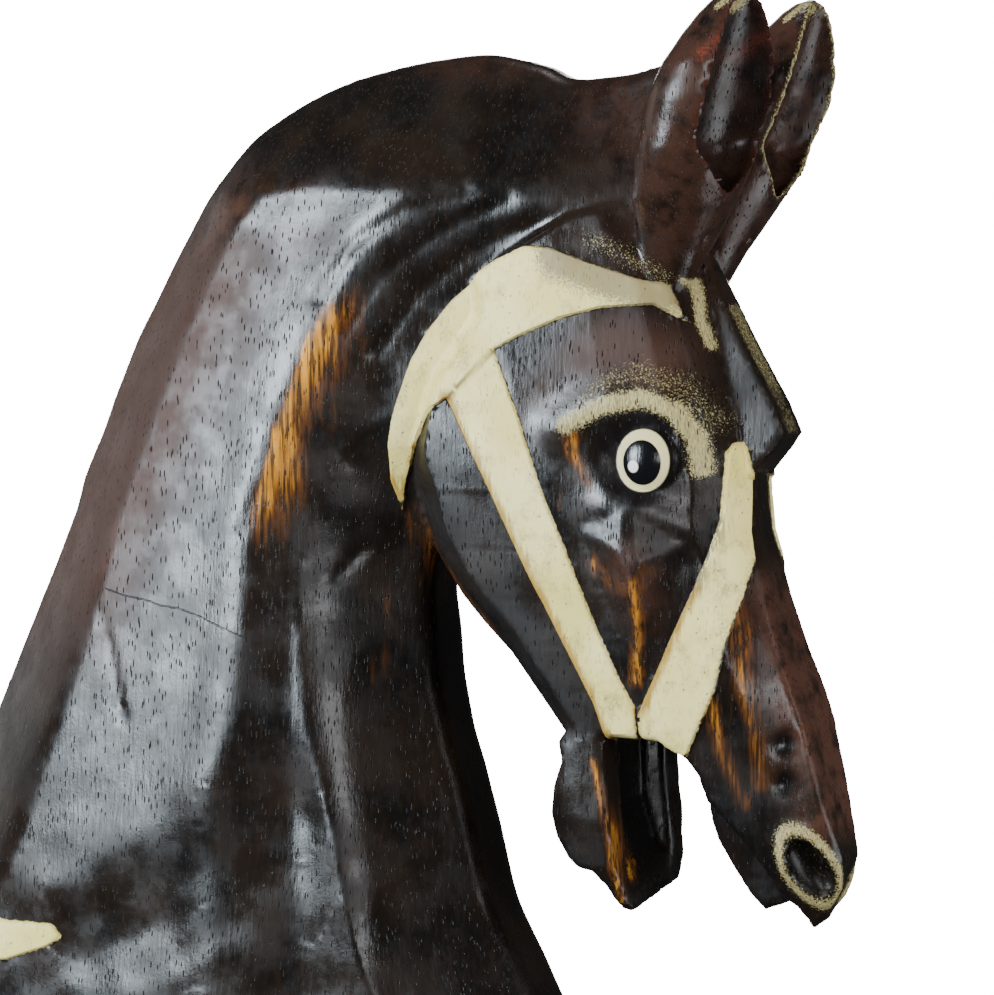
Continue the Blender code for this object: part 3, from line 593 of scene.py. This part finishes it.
AMBER_STREAKS = [
    ([(48, 360), (75, 358)], 5, 0.3),
    ([(104, 190), (112, 168), (104, 150)], 7, 0.3),
    ([(118, 222), (124, 203), (128, 190), (140, 172), (150, 160)], 7, 0.55),
    ([(203, 258), (202, 250), (208, 240), (214, 230)], 4, 0.8),
    ([(200, 238), (196, 228)], 4, 0.4),
    ([(211, 205), (220, 197), (229, 194), (236, 203)], 5, 0.62),
    ([(230, 198), (229, 175), (227, 158)], 4, 0.95),
    ([(206, 124), (209, 112), (212, 96), (215, 66)], 2.4, 0.9),
    ([(266, 190), (270, 168), (275, 145), (279, 118)], 5.5, 0.85),
    ([(258, 150), (262, 130), (270, 110)], 5, 0.75),
    ([(186, 120), (184, 112)], 6, 0.5),
    ([(122, 218), (130, 204), (142, 190), (158, 172)], 4, 0.6),
]
BROWN_STREAKS = [
    ([(39, 350), (38, 324), (22, 277), (-2, 230), (-23, 198)], 9, 0.7),
    ([(78, 342), (58, 330)], 16, 0.45),
    ([(-60, 190), (-40, 240), (-16, 300), (30, 345)], 20, 0.55),
    ([(247, 345), (256, 385), (266, 425)], 28, 0.5),
    ([(206, 392), (222, 380), (240, 366)], 18, 0.35),
    ([(226, 205), (230, 190)], 10, 0.5),
    ([(280, 195), (288, 165), (297, 130), (303, 105)], 9, 0.9),
    ([(212, 402), (170, 410), (120, 412)], 8, 0.25),
    ([(185, 270), (200, 285), (230, 290)], 12, 0.3),
]
CRACK = [(-19, 188.5), (-8, 185.5), (4, 184), (10, 182), (21, 181), (32, 178), (42, 174.5),
         (54, 170.5)]
CRACK_FADES_OVER = 6

# Knife gouges: line of (X, Z), width, depth
GOUGES = [([(-21, 178), (-14, 156), (-8, 133)], 2.6, 0.8), ([(88, 258), (97, 243)], 2.5, 0.6),
          ([(60, 232), (52, 214)], 3, 0.5), ([(100, 208), (92, 196)], 3, 0.7)]

# Swells of the carving: height, length from crest to crest, and seed of their chances
SWELL, FINE_SWELL, SHOULDER_SWELL = (0.13, 30, 1), (0.02, 7, 2), (0.15, 21, 4)
WAVES = 28


def streak_amount(x, z, streaks):
    """The strongest of the streaks at each point."""
    amount = 0
    for line, width, strength in streaks:
        amount = np.maximum(amount, strength * ridge(x, z, line, width))
    return amount


def swell(points, height, length, seed):
    """Gentle waves in every direction, about one length from crest to crest."""
    chance = np.random.default_rng(seed)
    total = np.zeros(len(points))
    for _ in range(WAVES):
        way = chance.normal(size=3)
        way *= chance.uniform(0.6, 1.4) / np.linalg.norm(way)
        total += np.sin(points @ way * 2 * np.pi / length + chance.uniform(0, 6.3))
    return height * (total / np.sqrt(WAVES))


def carve_details(points):
    """Knife marks and dents, as a distance to move each point out along its normal."""
    x, y, z = points.T
    shoulder = smooth_step((100 - z) / 50) * smooth_step((150 - x) / 30)
    lift = swell(points, *SWELL) + swell(points, *FINE_SWELL)
    lift = lift + shoulder * swell(points, *SHOULDER_SWELL)
    for line, width, depth in GOUGES:
        lift = lift - depth * ridge(x, z, line, width)
    eyeball = np.hypot((x - EYE_CENTRE[0]) / EYE_SIZE[0], (z - EYE_CENTRE[2]) / EYE_SIZE[2])
    smoother_eye = 0.15
    return np.where(eyeball < 1, smoother_eye * lift, lift)


def beside_widest_line(x, z):
    """Golden wood that shows along the near edge of the neck's widest line."""
    strongest, width_behind, width_ahead = 5, 3.0, 19
    forward = ahead_of(x, z, WIDEST_LINE[::-1]) - strongest
    width = np.where(forward < 0, width_behind, width_ahead)
    reach = smooth_step((z - 192) / 40) * smooth_step((327 - z) / 24)
    return np.exp(-(forward / width) ** 2) * reach


def beside_mane(x, z):
    """Thin varnish over brown wood, in a band along the mane that fades towards the nose."""
    forward = ahead_of(x, z, MANE_EDGE)
    width = 22 + 0.12 * np.clip(z - 200, 0, None)
    band = np.exp(-(np.clip(forward, 0, None) / width) ** 2) * np.where(forward < 0, 0.7, 1.0)
    band = band * smooth_step((z - 120) / 90) * smooth_step((362 - z) / 45)
    return band * smooth_step((100 - x) / 55)


def paint_amounts(points):
    """What the material needs to know about each point of the surface."""
    x, y, z = points.T
    far_side = y > 0
    _, reach = nostril(x, y, z)
    nostril_ring = 0.80 * np.exp(-((reach - 1.36) / 0.33) ** 2)
    front = np.clip((10 - abs(y)) / 6, 0, 1)
    leaf, scoop = ear_forms(x, y, z)
    high = smooth_step((z - LEAN_START) / 20)
    rim = np.exp(-(np.clip(np.maximum(scoop, -leaf), 0, None) / 2.0) ** 2) * high
    worn = np.maximum(streak_amount(x, z, CREAM_TRACES), nostril_ring)
    worn = np.maximum(worn, streak_amount(x, z, FORELOCK_PAINT) * front)
    worn = np.maximum(worn, streak_amount(x, z, EAR_TIP_PAINT) * high)
    worn = np.maximum(worn, np.where(far_side, 0.80, 0.12) * rim)
    amber = np.maximum(streak_amount(x, z, AMBER_STREAKS), beside_widest_line(x, z))
    in_mouth = (x > 195) & (x < 240) & (z < 134) & (y > -4)
    # Painted shade: how far each point is darkened towards black inside the near ear's scoop, the
    # dimples and the nostril, where shade falls
    hollow = 0.5 * np.exp(-np.clip(scoop, 0, None) / 0.8) * high * ~far_side
    for dimple in DIMPLES:
        away = np.hypot((x - dimple[0]) / DIMPLE_WIDTH, (z - dimple[1]) / 6)
        hollow = np.maximum(hollow, np.exp(-away ** 4))
    hollow = np.maximum(hollow, smooth_step((1.15 - reach) / 0.2))
    from_crack_end = np.minimum(x - CRACK[0][0], CRACK[-1][0] - x)
    # a narrow band along the crown strap's outline, darkened on the rear strap as painted shade
    beside_crown = np.exp(-(outline_distance(x, z, CROWN_STRAP) / 0.7) ** 2)
    return {
        "strap": strap_depth(points),
        "worn": worn,
        "amber": np.where(in_mouth, 0, amber),
        "brown": streak_amount(x, z, BROWN_STREAKS),
        "rust": streak_amount(x, z, RUST_EDGES),
        "dirt": streak_amount(x, z, STRAP_DIRT),
        "scuff": streak_amount(x, z, STRAP_SCUFF),
        "matte": np.maximum(beside_mane(x, z), streak_amount(x, z, CHEEK_BROWN)),
        # painted shade along the foot of the crown strap's step, on the rear strap beside it
        "crown_step_shade": beside_crown * (outline_distance(x, z, REAR_STRAP) < 0.6),
        # painted shade in the ear's scoop, the dimples and the nostril
        "hollow": hollow,
        "dull": streak_amount(x, z, DULL_PLACES),
        "red": np.maximum(streak_amount(x, z, EAR_SCRAPE), 0.30 * rim) * high * ~far_side,
        "crack": z - np.interp(x, *np.array(CRACK).T),
        "crack_part": np.clip(from_crack_end / CRACK_FADES_OVER + 0.4, 0, 1),
    }


# Colours of the wood and its stain, and blacks for painted shade in hollows and round the eye
DARK_STAIN, BROWN_STAIN = (0.0040, 0.0034, 0.0032), (0.0120, 0.0075, 0.0050)
GRAIN_BROWN = (0.020, 0.011, 0.006)
WORN_BROWNS = (0.050, 0.020, 0.013), (0.105, 0.048, 0.032)
AMBERS = (0.095, 0.033, 0.008), (0.60, 0.26, 0.028)
RED_SCRAPE = (0.20, 0.035, 0.018)
# near black: painted shade inside the near ear's scoop, the dimples and the nostril
HOLLOW_SHADE_BLACK = (0.0035, 0.0028, 0.0028)
# the second black draws the crack and the painted shade in the eye's socket
PORE_BLACK, CRACK_AND_SOCKET_SHADE_BLACK = (0.006, 0.004, 0.003), (0.004, 0.003, 0.003)

# Colours of the cream paint and its dirt, and of painted shade at the crown strap's step
CREAMS = (0.91, 0.82, 0.36), (0.74, 0.64, 0.19)
OLD_CREAMS = (0.56, 0.50, 0.24), (0.27, 0.22, 0.09)
CREAM_GRAIN, GRIME, DIRT = (0.60, 0.42, 0.13), (0.31, 0.24, 0.095), (0.16, 0.125, 0.06)
RUSTS = (0.20, 0.105, 0.014), (0.56, 0.37, 0.06)
# the first is painted shade along the foot of the crown strap, where it stands over the rear strap
CROWN_STEP_SHADE_BROWN, SCUFF_GREY, SPECK_BROWN = (0.075, 0.040, 0.015), (0.05, 0.045, 0.04), (0.07, 0.045, 0.025)

# The painted eye, seen from the side: centre and half sizes, then colours
EYE_RING = (232.3, 247), (11.5, 12.4)
# how far round the eye the bare wood is darkened as painted shade in its socket
EYE_SOCKET_SHADE = (232.3, 247), (12.0, 12.6)
PUPIL = (232.6, 246.2), (8.3, 9.0)
EYE_POINT = (229.2, 244.6), (2.4, 2.4)
RING_CREAMS = (0.74, 0.68, 0.36), (0.32, 0.25, 0.12)
PUPIL_BLACK, POINT_WHITE = (0.004, 0.004, 0.005), (0.85, 0.84, 0.80)


class Graph:
    """Short names for the nodes of a material, a lamp or the world."""

    def __init__(self, owner, shader):
        owner.use_nodes = True
        self.tree = owner.node_tree
        self.shader = self.tree.nodes[shader]

    def new(self, kind):
        return self.tree.nodes.new(kind)

    def put(self, socket, value):
        if isinstance(value, bpy.types.NodeSocket):
            self.tree.links.new(value, socket)
        elif socket.type == "RGBA" and len(value) == 3:
            socket.default_value = (*value, 1)
        else:
            socket.default_value = value

    def filled(self, node, inputs):
        """The node's outputs, after its inputs are set or linked."""
        for name, value in inputs.items():
            self.put(node.inputs[name], value)
        return node.outputs

    def place(self):
        return self.new("ShaderNodeTexCoord").outputs["Object"]

    def attribute(self, name):
        node = self.new("ShaderNodeAttribute")
        node.attribute_name = name
        return node.outputs["Fac"]

    def math(self, operation, a, b=0.0, c=0.0):
        node = self.new("ShaderNodeMath")
        node.operation = operation
        return self.filled(node, {0: a, 1: b, 2: c})[0]

    def times(self, a, b):
        return self.math("MULTIPLY", a, b)

    def most(self, a, b):
        return self.math("MAXIMUM", a, b)

    def ragged(self, value, noise, amount):
        """The value with a noise laid over it, so that its edges come out ragged."""
        return self.math("MULTIPLY_ADD", self.math("SUBTRACT", noise, 0.5), amount, value)

    def vector(self, operation, a, b):
        node = self.new("ShaderNodeVectorMath")
        node.operation = operation
        return self.filled(node, {0: a, 1: b})["Value" if operation == "LENGTH" else "Vector"]

    def step(self, value, low, high, start=0.0, end=1.0):
        """Rises smoothly from start to end as the value goes from low to high."""
        node = self.new("ShaderNodeMapRange")
        node.interpolation_type = "SMOOTHSTEP"
        return self.filled(node, {"Value": value, "From Min": low, "From Max": high,
                                  "To Min": start, "To Max": end})["Result"]

    def noise(self, place, scale, detail, roughness):
        return self.filled(self.new("ShaderNodeTexNoise"), {
            "Vector": place, "Scale": scale, "Detail": detail, "Roughness": roughness})["Fac"]

    def cells(self, place):
        """Distance to the nearest of scattered points, and a chance value of that point."""
        found = self.filled(self.new("ShaderNodeTexVoronoi"), {"Vector": place, "Scale": 1.0})
        split = self.filled(self.new("ShaderNodeSeparateColor"), {0: found["Color"]})
        return found["Distance"], split[0]

    def mix(self, share, a, b):
        node = self.new("ShaderNodeMix")
        node.data_type = "RGBA"
        return self.filled(node, {0: share, 6: a, 7: b})[2]


def stained_wood():
    material = bpy.data.materials.new("stained_wood_worn")
    g = Graph(material, "Principled BSDF")
    place = g.vector("MULTIPLY", g.place(), (1 / UNIT, 1 / UNIT, 1 / UNIT))

    # Wood: pores and grain run up and down, stain lies thicker in patches
    along = g.vector("MULTIPLY", place, (1, 1, 0.14))
    grain = g.noise(along, 0.55, 3, 0.6)
    fine_grain = g.noise(along, 2.2, 3, 0.6)
    patches = g.noise(place, 0.028, 2, 0.5)
    blotches = g.noise(place, 0.09, 3, 0.6)
    stipple = g.noise(place, 0.75, 3, 0.7)
    fine_stipple = g.noise(place, 1.25, 3, 0.7)
    distance, chance = g.cells(g.vector("MULTIPLY", place, (0.72, 0.72, 0.15)))
    pore = g.times(g.step(distance, 0.26, 0.17), g.math("LESS_THAN", chance, 0.72))

    wood = g.mix(g.step(patches, 0.35, 0.7), DARK_STAIN, BROWN_STAIN)
    wood = g.mix(g.times(g.step(grain, 0.45, 0.75), 0.5), wood, GRAIN_BROWN)
    brown = g.times(g.attribute("brown"), g.step(blotches, 0.25, 0.6))
    brown = g.most(brown, g.times(g.attribute("matte"), 0.65))
    wood = g.mix(brown, wood, g.mix(fine_grain, *WORN_BROWNS))
    lines = g.noise(g.vector("MULTIPLY", place, (1, 1, 0.05)), 0.75, 2, 0.6)
    clouded = g.ragged(g.attribute("amber"), g.noise(along, 0.16, 3, 0.65), 1.3)
    amber = g.times(g.step(clouded, 0.25, 0.85), g.step(lines, 0.40, 0.54, 0.18, 1.0))
    wood = g.mix(amber, wood, g.mix(g.step(clouded, 0.65, 1.15), *AMBERS))
    scrape = g.times(g.attribute("red"), g.step(fine_stipple, 0.40, 0.62))
    wood = g.mix(scrape, wood, RED_SCRAPE)
    # Painted shade: near black inside the near ear's scoop, the dimples and the nostril
    wood = g.mix(g.attribute("hollow"), wood, HOLLOW_SHADE_BLACK)

    # Cream paint of the bridle, dirty along its edges
    inside = g.ragged(g.attribute("strap"), g.noise(place, 0.45, 3, 0.6), 1.3)
    painted = g.step(inside, 0.05, 0.55)
    grime = g.most(g.step(inside, 2.6, 0.4), g.step(blotches, 0.46, 0.70))
    cream = g.mix(g.step(patches, 0.3, 0.7), *CREAMS)
    cream = g.mix(g.times(g.step(fine_grain, 0.5, 0.75), 0.3), cream, CREAM_GRAIN)
    cream = g.mix(g.times(grime, g.step(stipple, 0.35, 0.7, 0.15, 0.75)), cream, GRIME)
    rust = g.ragged(g.attribute("rust"), g.noise(along, 0.4, 3, 0.7), 1.6)
    cream = g.mix(g.step(rust, 0.28, 0.92), cream, g.mix(fine_grain, *RUSTS))
    dirt = g.ragged(g.attribute("dirt"), fine_stipple, 1.3)
    cream = g.mix(g.step(dirt, 0.40, 0.85, 0, 0.85), cream, DIRT)
    # Painted shade: a dark brown line at the foot of the crown strap's step
    cream = g.mix(g.times(g.attribute("crown_step_shade"), 0.9), cream, CROWN_STEP_SHADE_BROWN)
    scuff = g.times(g.attribute("scuff"), g.step(lines, 0.46, 0.54))
    cream = g.mix(g.times(scuff, 0.8), cream, SCUFF_GREY)
    distance, chance = g.cells(g.vector("MULTIPLY", place, (0.30, 0.30, 0.24)))
    speck = g.times(g.step(distance, 0.15, 0.08), g.math("LESS_THAN", chance, 0.5))
    cream = g.mix(g.times(speck, 0.75), cream, SPECK_BROWN)

    # Worn touches of the same paint
    worn = g.step(g.ragged(g.attribute("worn"), fine_stipple, 1.6), 0.40, 0.72)
    old_cream = g.mix(g.step(fine_grain, 0.35, 0.65), *OLD_CREAMS)
    colour = g.mix(g.times(worn, 0.85), wood, old_cream)
    colour = g.mix(painted, colour, cream)

    # Eye: cream ball, black pupil, white point, and painted shade in the socket round it
    def spot(centre, half):
        """1 on the outline of an oval seen from the side, less inside it."""
        flat = g.vector("MULTIPLY", g.vector("SUBTRACT", place, (centre[0], 0, centre[1])),
                        (1 / half[0], 0, 1 / half[1]))
        return g.vector("LENGTH", flat, (0, 0, 0))

    eye = g.step(spot(*EYE_RING), 1.04, 0.98)
    pupil = g.step(spot(*PUPIL), 1.04, 0.98)
    point = g.step(spot(*EYE_POINT), 1.15, 0.85)
    socket_shade = g.step(spot(*EYE_SOCKET_SHADE), 1.75, 1.25)
    bare = g.math("SUBTRACT", 1.0, g.most(worn, painted))
    # Painted shade: the bare wood round the eye is darkened, as shade in its socket
    colour = g.mix(g.times(g.times(socket_shade, bare), 0.85), colour, CRACK_AND_SOCKET_SHADE_BLACK)
    colour = g.mix(eye, colour, g.mix(g.times(stipple, 0.4), *RING_CREAMS))
    colour = g.mix(pupil, colour, PUPIL_BLACK)
    colour = g.mix(point, colour, POINT_WHITE)

    # Fine dark crack across the neck, and the open pores, fainter on the paint
    off_crack = g.ragged(g.attribute("crack"), g.noise(place, 0.4, 3, 0.6), 1.6)
    crack = g.step(g.math("ABSOLUTE", off_crack), 0.42, 0.12)
    crack = g.times(crack, g.math("GREATER_THAN", g.attribute("crack_part"), 0.45))
    colour = g.mix(crack, colour, CRACK_AND_SOCKET_SHADE_BLACK)
    pore = g.times(pore, g.math("SUBTRACT", 1.0, eye))
    pore = g.times(pore, g.math("MULTIPLY_ADD", painted, -0.75, 1.0))
    colour = g.mix(g.times(pore, 0.85), colour, PORE_BLACK)

    # Varnish: glossy in patches, duller where it is worn, on the paint and in the pores
    covered = g.most(painted, g.most(g.times(worn, 0.7), eye))
    rough = g.step(g.noise(place, 0.05, 3, 0.65), 0.35, 0.65, 0.16, 0.34)
    rough = g.math("MULTIPLY_ADD", fine_grain, 0.05, rough)
    rough = g.math("MULTIPLY_ADD", g.most(g.attribute("matte"), g.attribute("dull")), 0.28, rough)
    rough = g.math("MULTIPLY_ADD", covered, 0.20, rough)
    rough = g.math("MULTIPLY_ADD", pore, 0.6, rough)
    rough = g.mix(pupil, rough, (0.15, 0.15, 0.15))

    surface = g.math("MULTIPLY_ADD", grain, 0.35, g.times(stipple, 0.16))
    surface = g.math("SUBTRACT", surface, g.times(pore, 0.8))
    surface = g.math("SUBTRACT", surface, g.times(crack, 1.5))
    relief = g.filled(g.new("ShaderNodeBump"),
                      {"Height": surface, "Distance": 0.0006, "Strength": 0.55})
    g.filled(g.shader, {"Base Color": colour, "Roughness": rough, "Normal": relief["Normal"],
                        "Metallic": 0.0, "IOR": 1.5})
    return material


# The studio, in metres
BUST_MIDDLE = (0.06, 0, 0.22)
DOME_RADIUS, FLOOR_REACH, FLOOR_HEIGHT = 8, 9, -0.0004
PAPER_GLOW = 16.0
SOFT_MIDDLE = 36.0         # keeps the power of a light that fades to its edges
COOL_WHITE = (0.95, 0.97, 1.0)


def cut_underside(mesh):
    """Cuts the neck flat at Z = 0 and closes the cut."""
    form = bmesh.new()
    form.from_mesh(mesh)
    everything = form.verts[:] + form.edges[:] + form.faces[:]
    cut = bmesh.ops.bisect_plane(form, geom=everything, dist=1e-6, plane_co=(0, 0, 0),
                                 plane_no=(0, 0, 1), clear_inner=True)
    rim = [item for item in cut["geom_cut"] if isinstance(item, bmesh.types.BMEdge)]
    bmesh.ops.holes_fill(form, edges=rim, sides=0)
    bmesh.ops.triangulate(form, faces=form.faces[:])
    bmesh.ops.recalc_face_normals(form, faces=form.faces[:])
    form.to_mesh(mesh)
    form.free()


def add_object(name, data):
    item = bpy.data.objects.new(name, data)
    bpy.context.scene.collection.objects.link(item)
    return item


def vertex_data(mesh, name):
    flat = np.empty(len(mesh.vertices) * 3, np.float32)
    mesh.vertices.foreach_get(name, flat)
    return flat.reshape(-1, 3)


def carve_bust():
    points, triangles = draw_surface()
    points, triangles = raise_straps(points, triangles)
    mesh = bpy.data.meshes.new("carved_bust")
    mesh.from_pydata((points * UNIT).tolist(), [], triangles.tolist())
    cut_underside(mesh)
    points = vertex_data(mesh, "co").astype(float) / UNIT
    on_cut = points[:, 2] < 0.01
    lift = np.where(on_cut, 0, carve_details(points))
    moved = points + vertex_data(mesh, "normal") * lift[:, None]
    moved[:, 2] = np.maximum(moved[:, 2], 0)
    mesh.vertices.foreach_set("co", (moved * UNIT).astype(np.float32).ravel())
    for name, values in paint_amounts(points).items():
        layer = mesh.attributes.new(name, "FLOAT", "POINT")
        layer.data.foreach_set("value", np.broadcast_to(values, len(points)).astype(np.float32))
    mesh.update()
    mesh.shade_smooth()
    mesh.set_sharp_from_angle(angle=SHARP_ANGLE)
    mesh.materials.append(stained_wood())
    return add_object("carved_bust", mesh)


def glowing_paper(name, colour, roughness):
    """Paper bright enough to come out white; it lights nothing, so no rays are sent to it."""
    material = bpy.data.materials.new(name)
    g = Graph(material, "Principled BSDF")
    g.filled(g.shader, {"Base Color": colour, "Roughness": roughness, "Emission Color": (1, 1, 1),
                        "Emission Strength": PAPER_GLOW})
    material.cycles.emission_sampling = "NONE"
    return material


def soften(lamp):
    """Makes the light fade from its middle to its edges, as a diffuser does."""
    g = Graph(lamp, "Emission")
    across = g.new("ShaderNodeNewGeometry").outputs["Parametric"]
    place = g.filled(g.new("ShaderNodeSeparateXYZ"), {0: across})
    share = SOFT_MIDDLE
    for axis in ("X", "Y"):
        share = g.times(g.times(place[axis], g.math("SUBTRACT", 1.0, place[axis])), share)
    g.put(g.shader.inputs["Strength"], share)


def area_light(name, place, size, power, colour=(1, 1, 1), target=BUST_MIDDLE):
    lamp = bpy.data.lights.new(name, "AREA")
    lamp.shape = "RECTANGLE"
    lamp.size, lamp.size_y = size
    lamp.energy = power
    lamp.color = colour
    item = add_object(name, lamp)
    item.location = place
    toward = Vector(target) - Vector(place)
    item.rotation_euler = toward.to_track_quat("-Z", "Y").to_euler()
    return item


def around(azimuth, height, distance):
    """A point round the bust: 0 degrees is straight out from its near side, + is towards the nose."""
    turn = np.radians(azimuth)
    return (BUST_MIDDLE[0] + distance * np.sin(turn), -distance * np.cos(turn), height)


def backdrop():
    """A white dome that only the camera sees, so that it doesn't shine in the varnish."""
    mesh = bpy.data.meshes.new("backdrop")
    form = bmesh.new()
    bmesh.ops.create_uvsphere(form, u_segments=64, v_segments=32, radius=DOME_RADIUS)
    form.to_mesh(mesh)
    form.free()
    mesh.shade_smooth()
    mesh.materials.append(glowing_paper("backdrop_paper", (0, 0, 0), 1.0))
    dome = add_object("backdrop", mesh)
    dome.visible_glossy = False
    dome.visible_diffuse = False
    dome.visible_shadow = False
    return dome


def light_the_studio():
    backdrop()
    mesh = bpy.data.meshes.new("floor")
    mesh.from_pydata([(x * FLOOR_REACH, y * FLOOR_REACH, FLOOR_HEIGHT)
                      for x, y in ((-1, -1), (1, -1), (1, 1), (-1, 1))], [], [(0, 1, 2, 3)])
    mesh.materials.append(glowing_paper("floor_paper", (0.82, 0.82, 0.82), 0.9))
    floor = add_object("floor", mesh)
    floor.visible_glossy = False
    floor.visible_diffuse = False
    softbox = area_light("softbox", around(-35, 0.48, 1.5), (0.72, 0.92), 36, (0.80, 0.91, 1.0),
                         (0.03, -0.05, 0.25))
    soften(softbox.data)
    front = area_light("front_light", around(25, 0.42, 2.1), (0.9, 0.7), 6.5, COOL_WHITE)
    soften(front.data)
    fill = area_light("front_fill", around(80, 0.5, 1.8), (0.8, 0.8), 22)
    fill.visible_glossy = False
    area_light("nose_light", around(78, 0.5, 1.7), (0.3, 0.7), 1.5, COOL_WHITE)
    area_light("low_light", (0.79, 0.07, 0.01), (0.35, 0.35), 1.4, (0.90, 0.96, 1.0),
               (0.26, -0.02, 0.39))
    area_light("back_left", around(-102, 0.5, 1.9), (1.2, 1.0), 2.2)
    area_light("back_fill", around(200, 0.7, 1.9), (0.9, 1.0), 14)
    area_light("top_light", (0.2, 0.1, 1.8), (0.4, 0.4), 3)
    even = area_light("even_light", around(-8, 1.2, 2.2), (1.8, 1.2), 62, (1.0, 0.98, 0.94))
    even.visible_glossy = False
    world = bpy.data.worlds.new("studio")
    g = Graph(world, "Background")
    g.filled(g.shader, {"Color": (1, 1, 1), "Strength": 0.05})
    bpy.context.scene.world = world


def set_camera():
    """The photograph's view: 28 degrees round from the side, 2.5 degrees down, 1.6 m away."""
    azimuth, elevation, distance = np.radians(28), np.radians(2.5), 1.6
    metres_per_pixel, pixels, sensor = 0.00042, 995, 36
    target = Vector((0.147, 0, 0.229))
    back = Vector((np.sin(azimuth) * np.cos(elevation), -np.cos(azimuth) * np.cos(elevation),
                   np.sin(elevation)))
    right = Vector((np.cos(azimuth), np.sin(azimuth), 0))
    up = back.cross(right)
    lens = bpy.data.cameras.new("camera")
    lens.sensor_width = sensor
    lens.lens = sensor * distance / (metres_per_pixel * pixels)
    camera = add_object("camera", lens)
    turn = Matrix((right, up, back)).transposed()
    camera.matrix_world = Matrix.Translation(target + back * distance) @ turn.to_4x4()
    bpy.context.scene.camera = camera


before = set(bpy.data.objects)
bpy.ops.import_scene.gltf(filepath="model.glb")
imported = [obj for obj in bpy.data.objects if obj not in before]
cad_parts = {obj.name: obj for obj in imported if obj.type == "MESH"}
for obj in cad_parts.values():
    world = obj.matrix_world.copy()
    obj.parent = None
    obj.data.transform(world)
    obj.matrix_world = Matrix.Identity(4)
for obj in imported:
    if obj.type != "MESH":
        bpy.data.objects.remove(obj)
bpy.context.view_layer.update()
bust = carve_bust()
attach(bust, "root")
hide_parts("horse_head_and_neck")
light_the_studio()
set_camera()
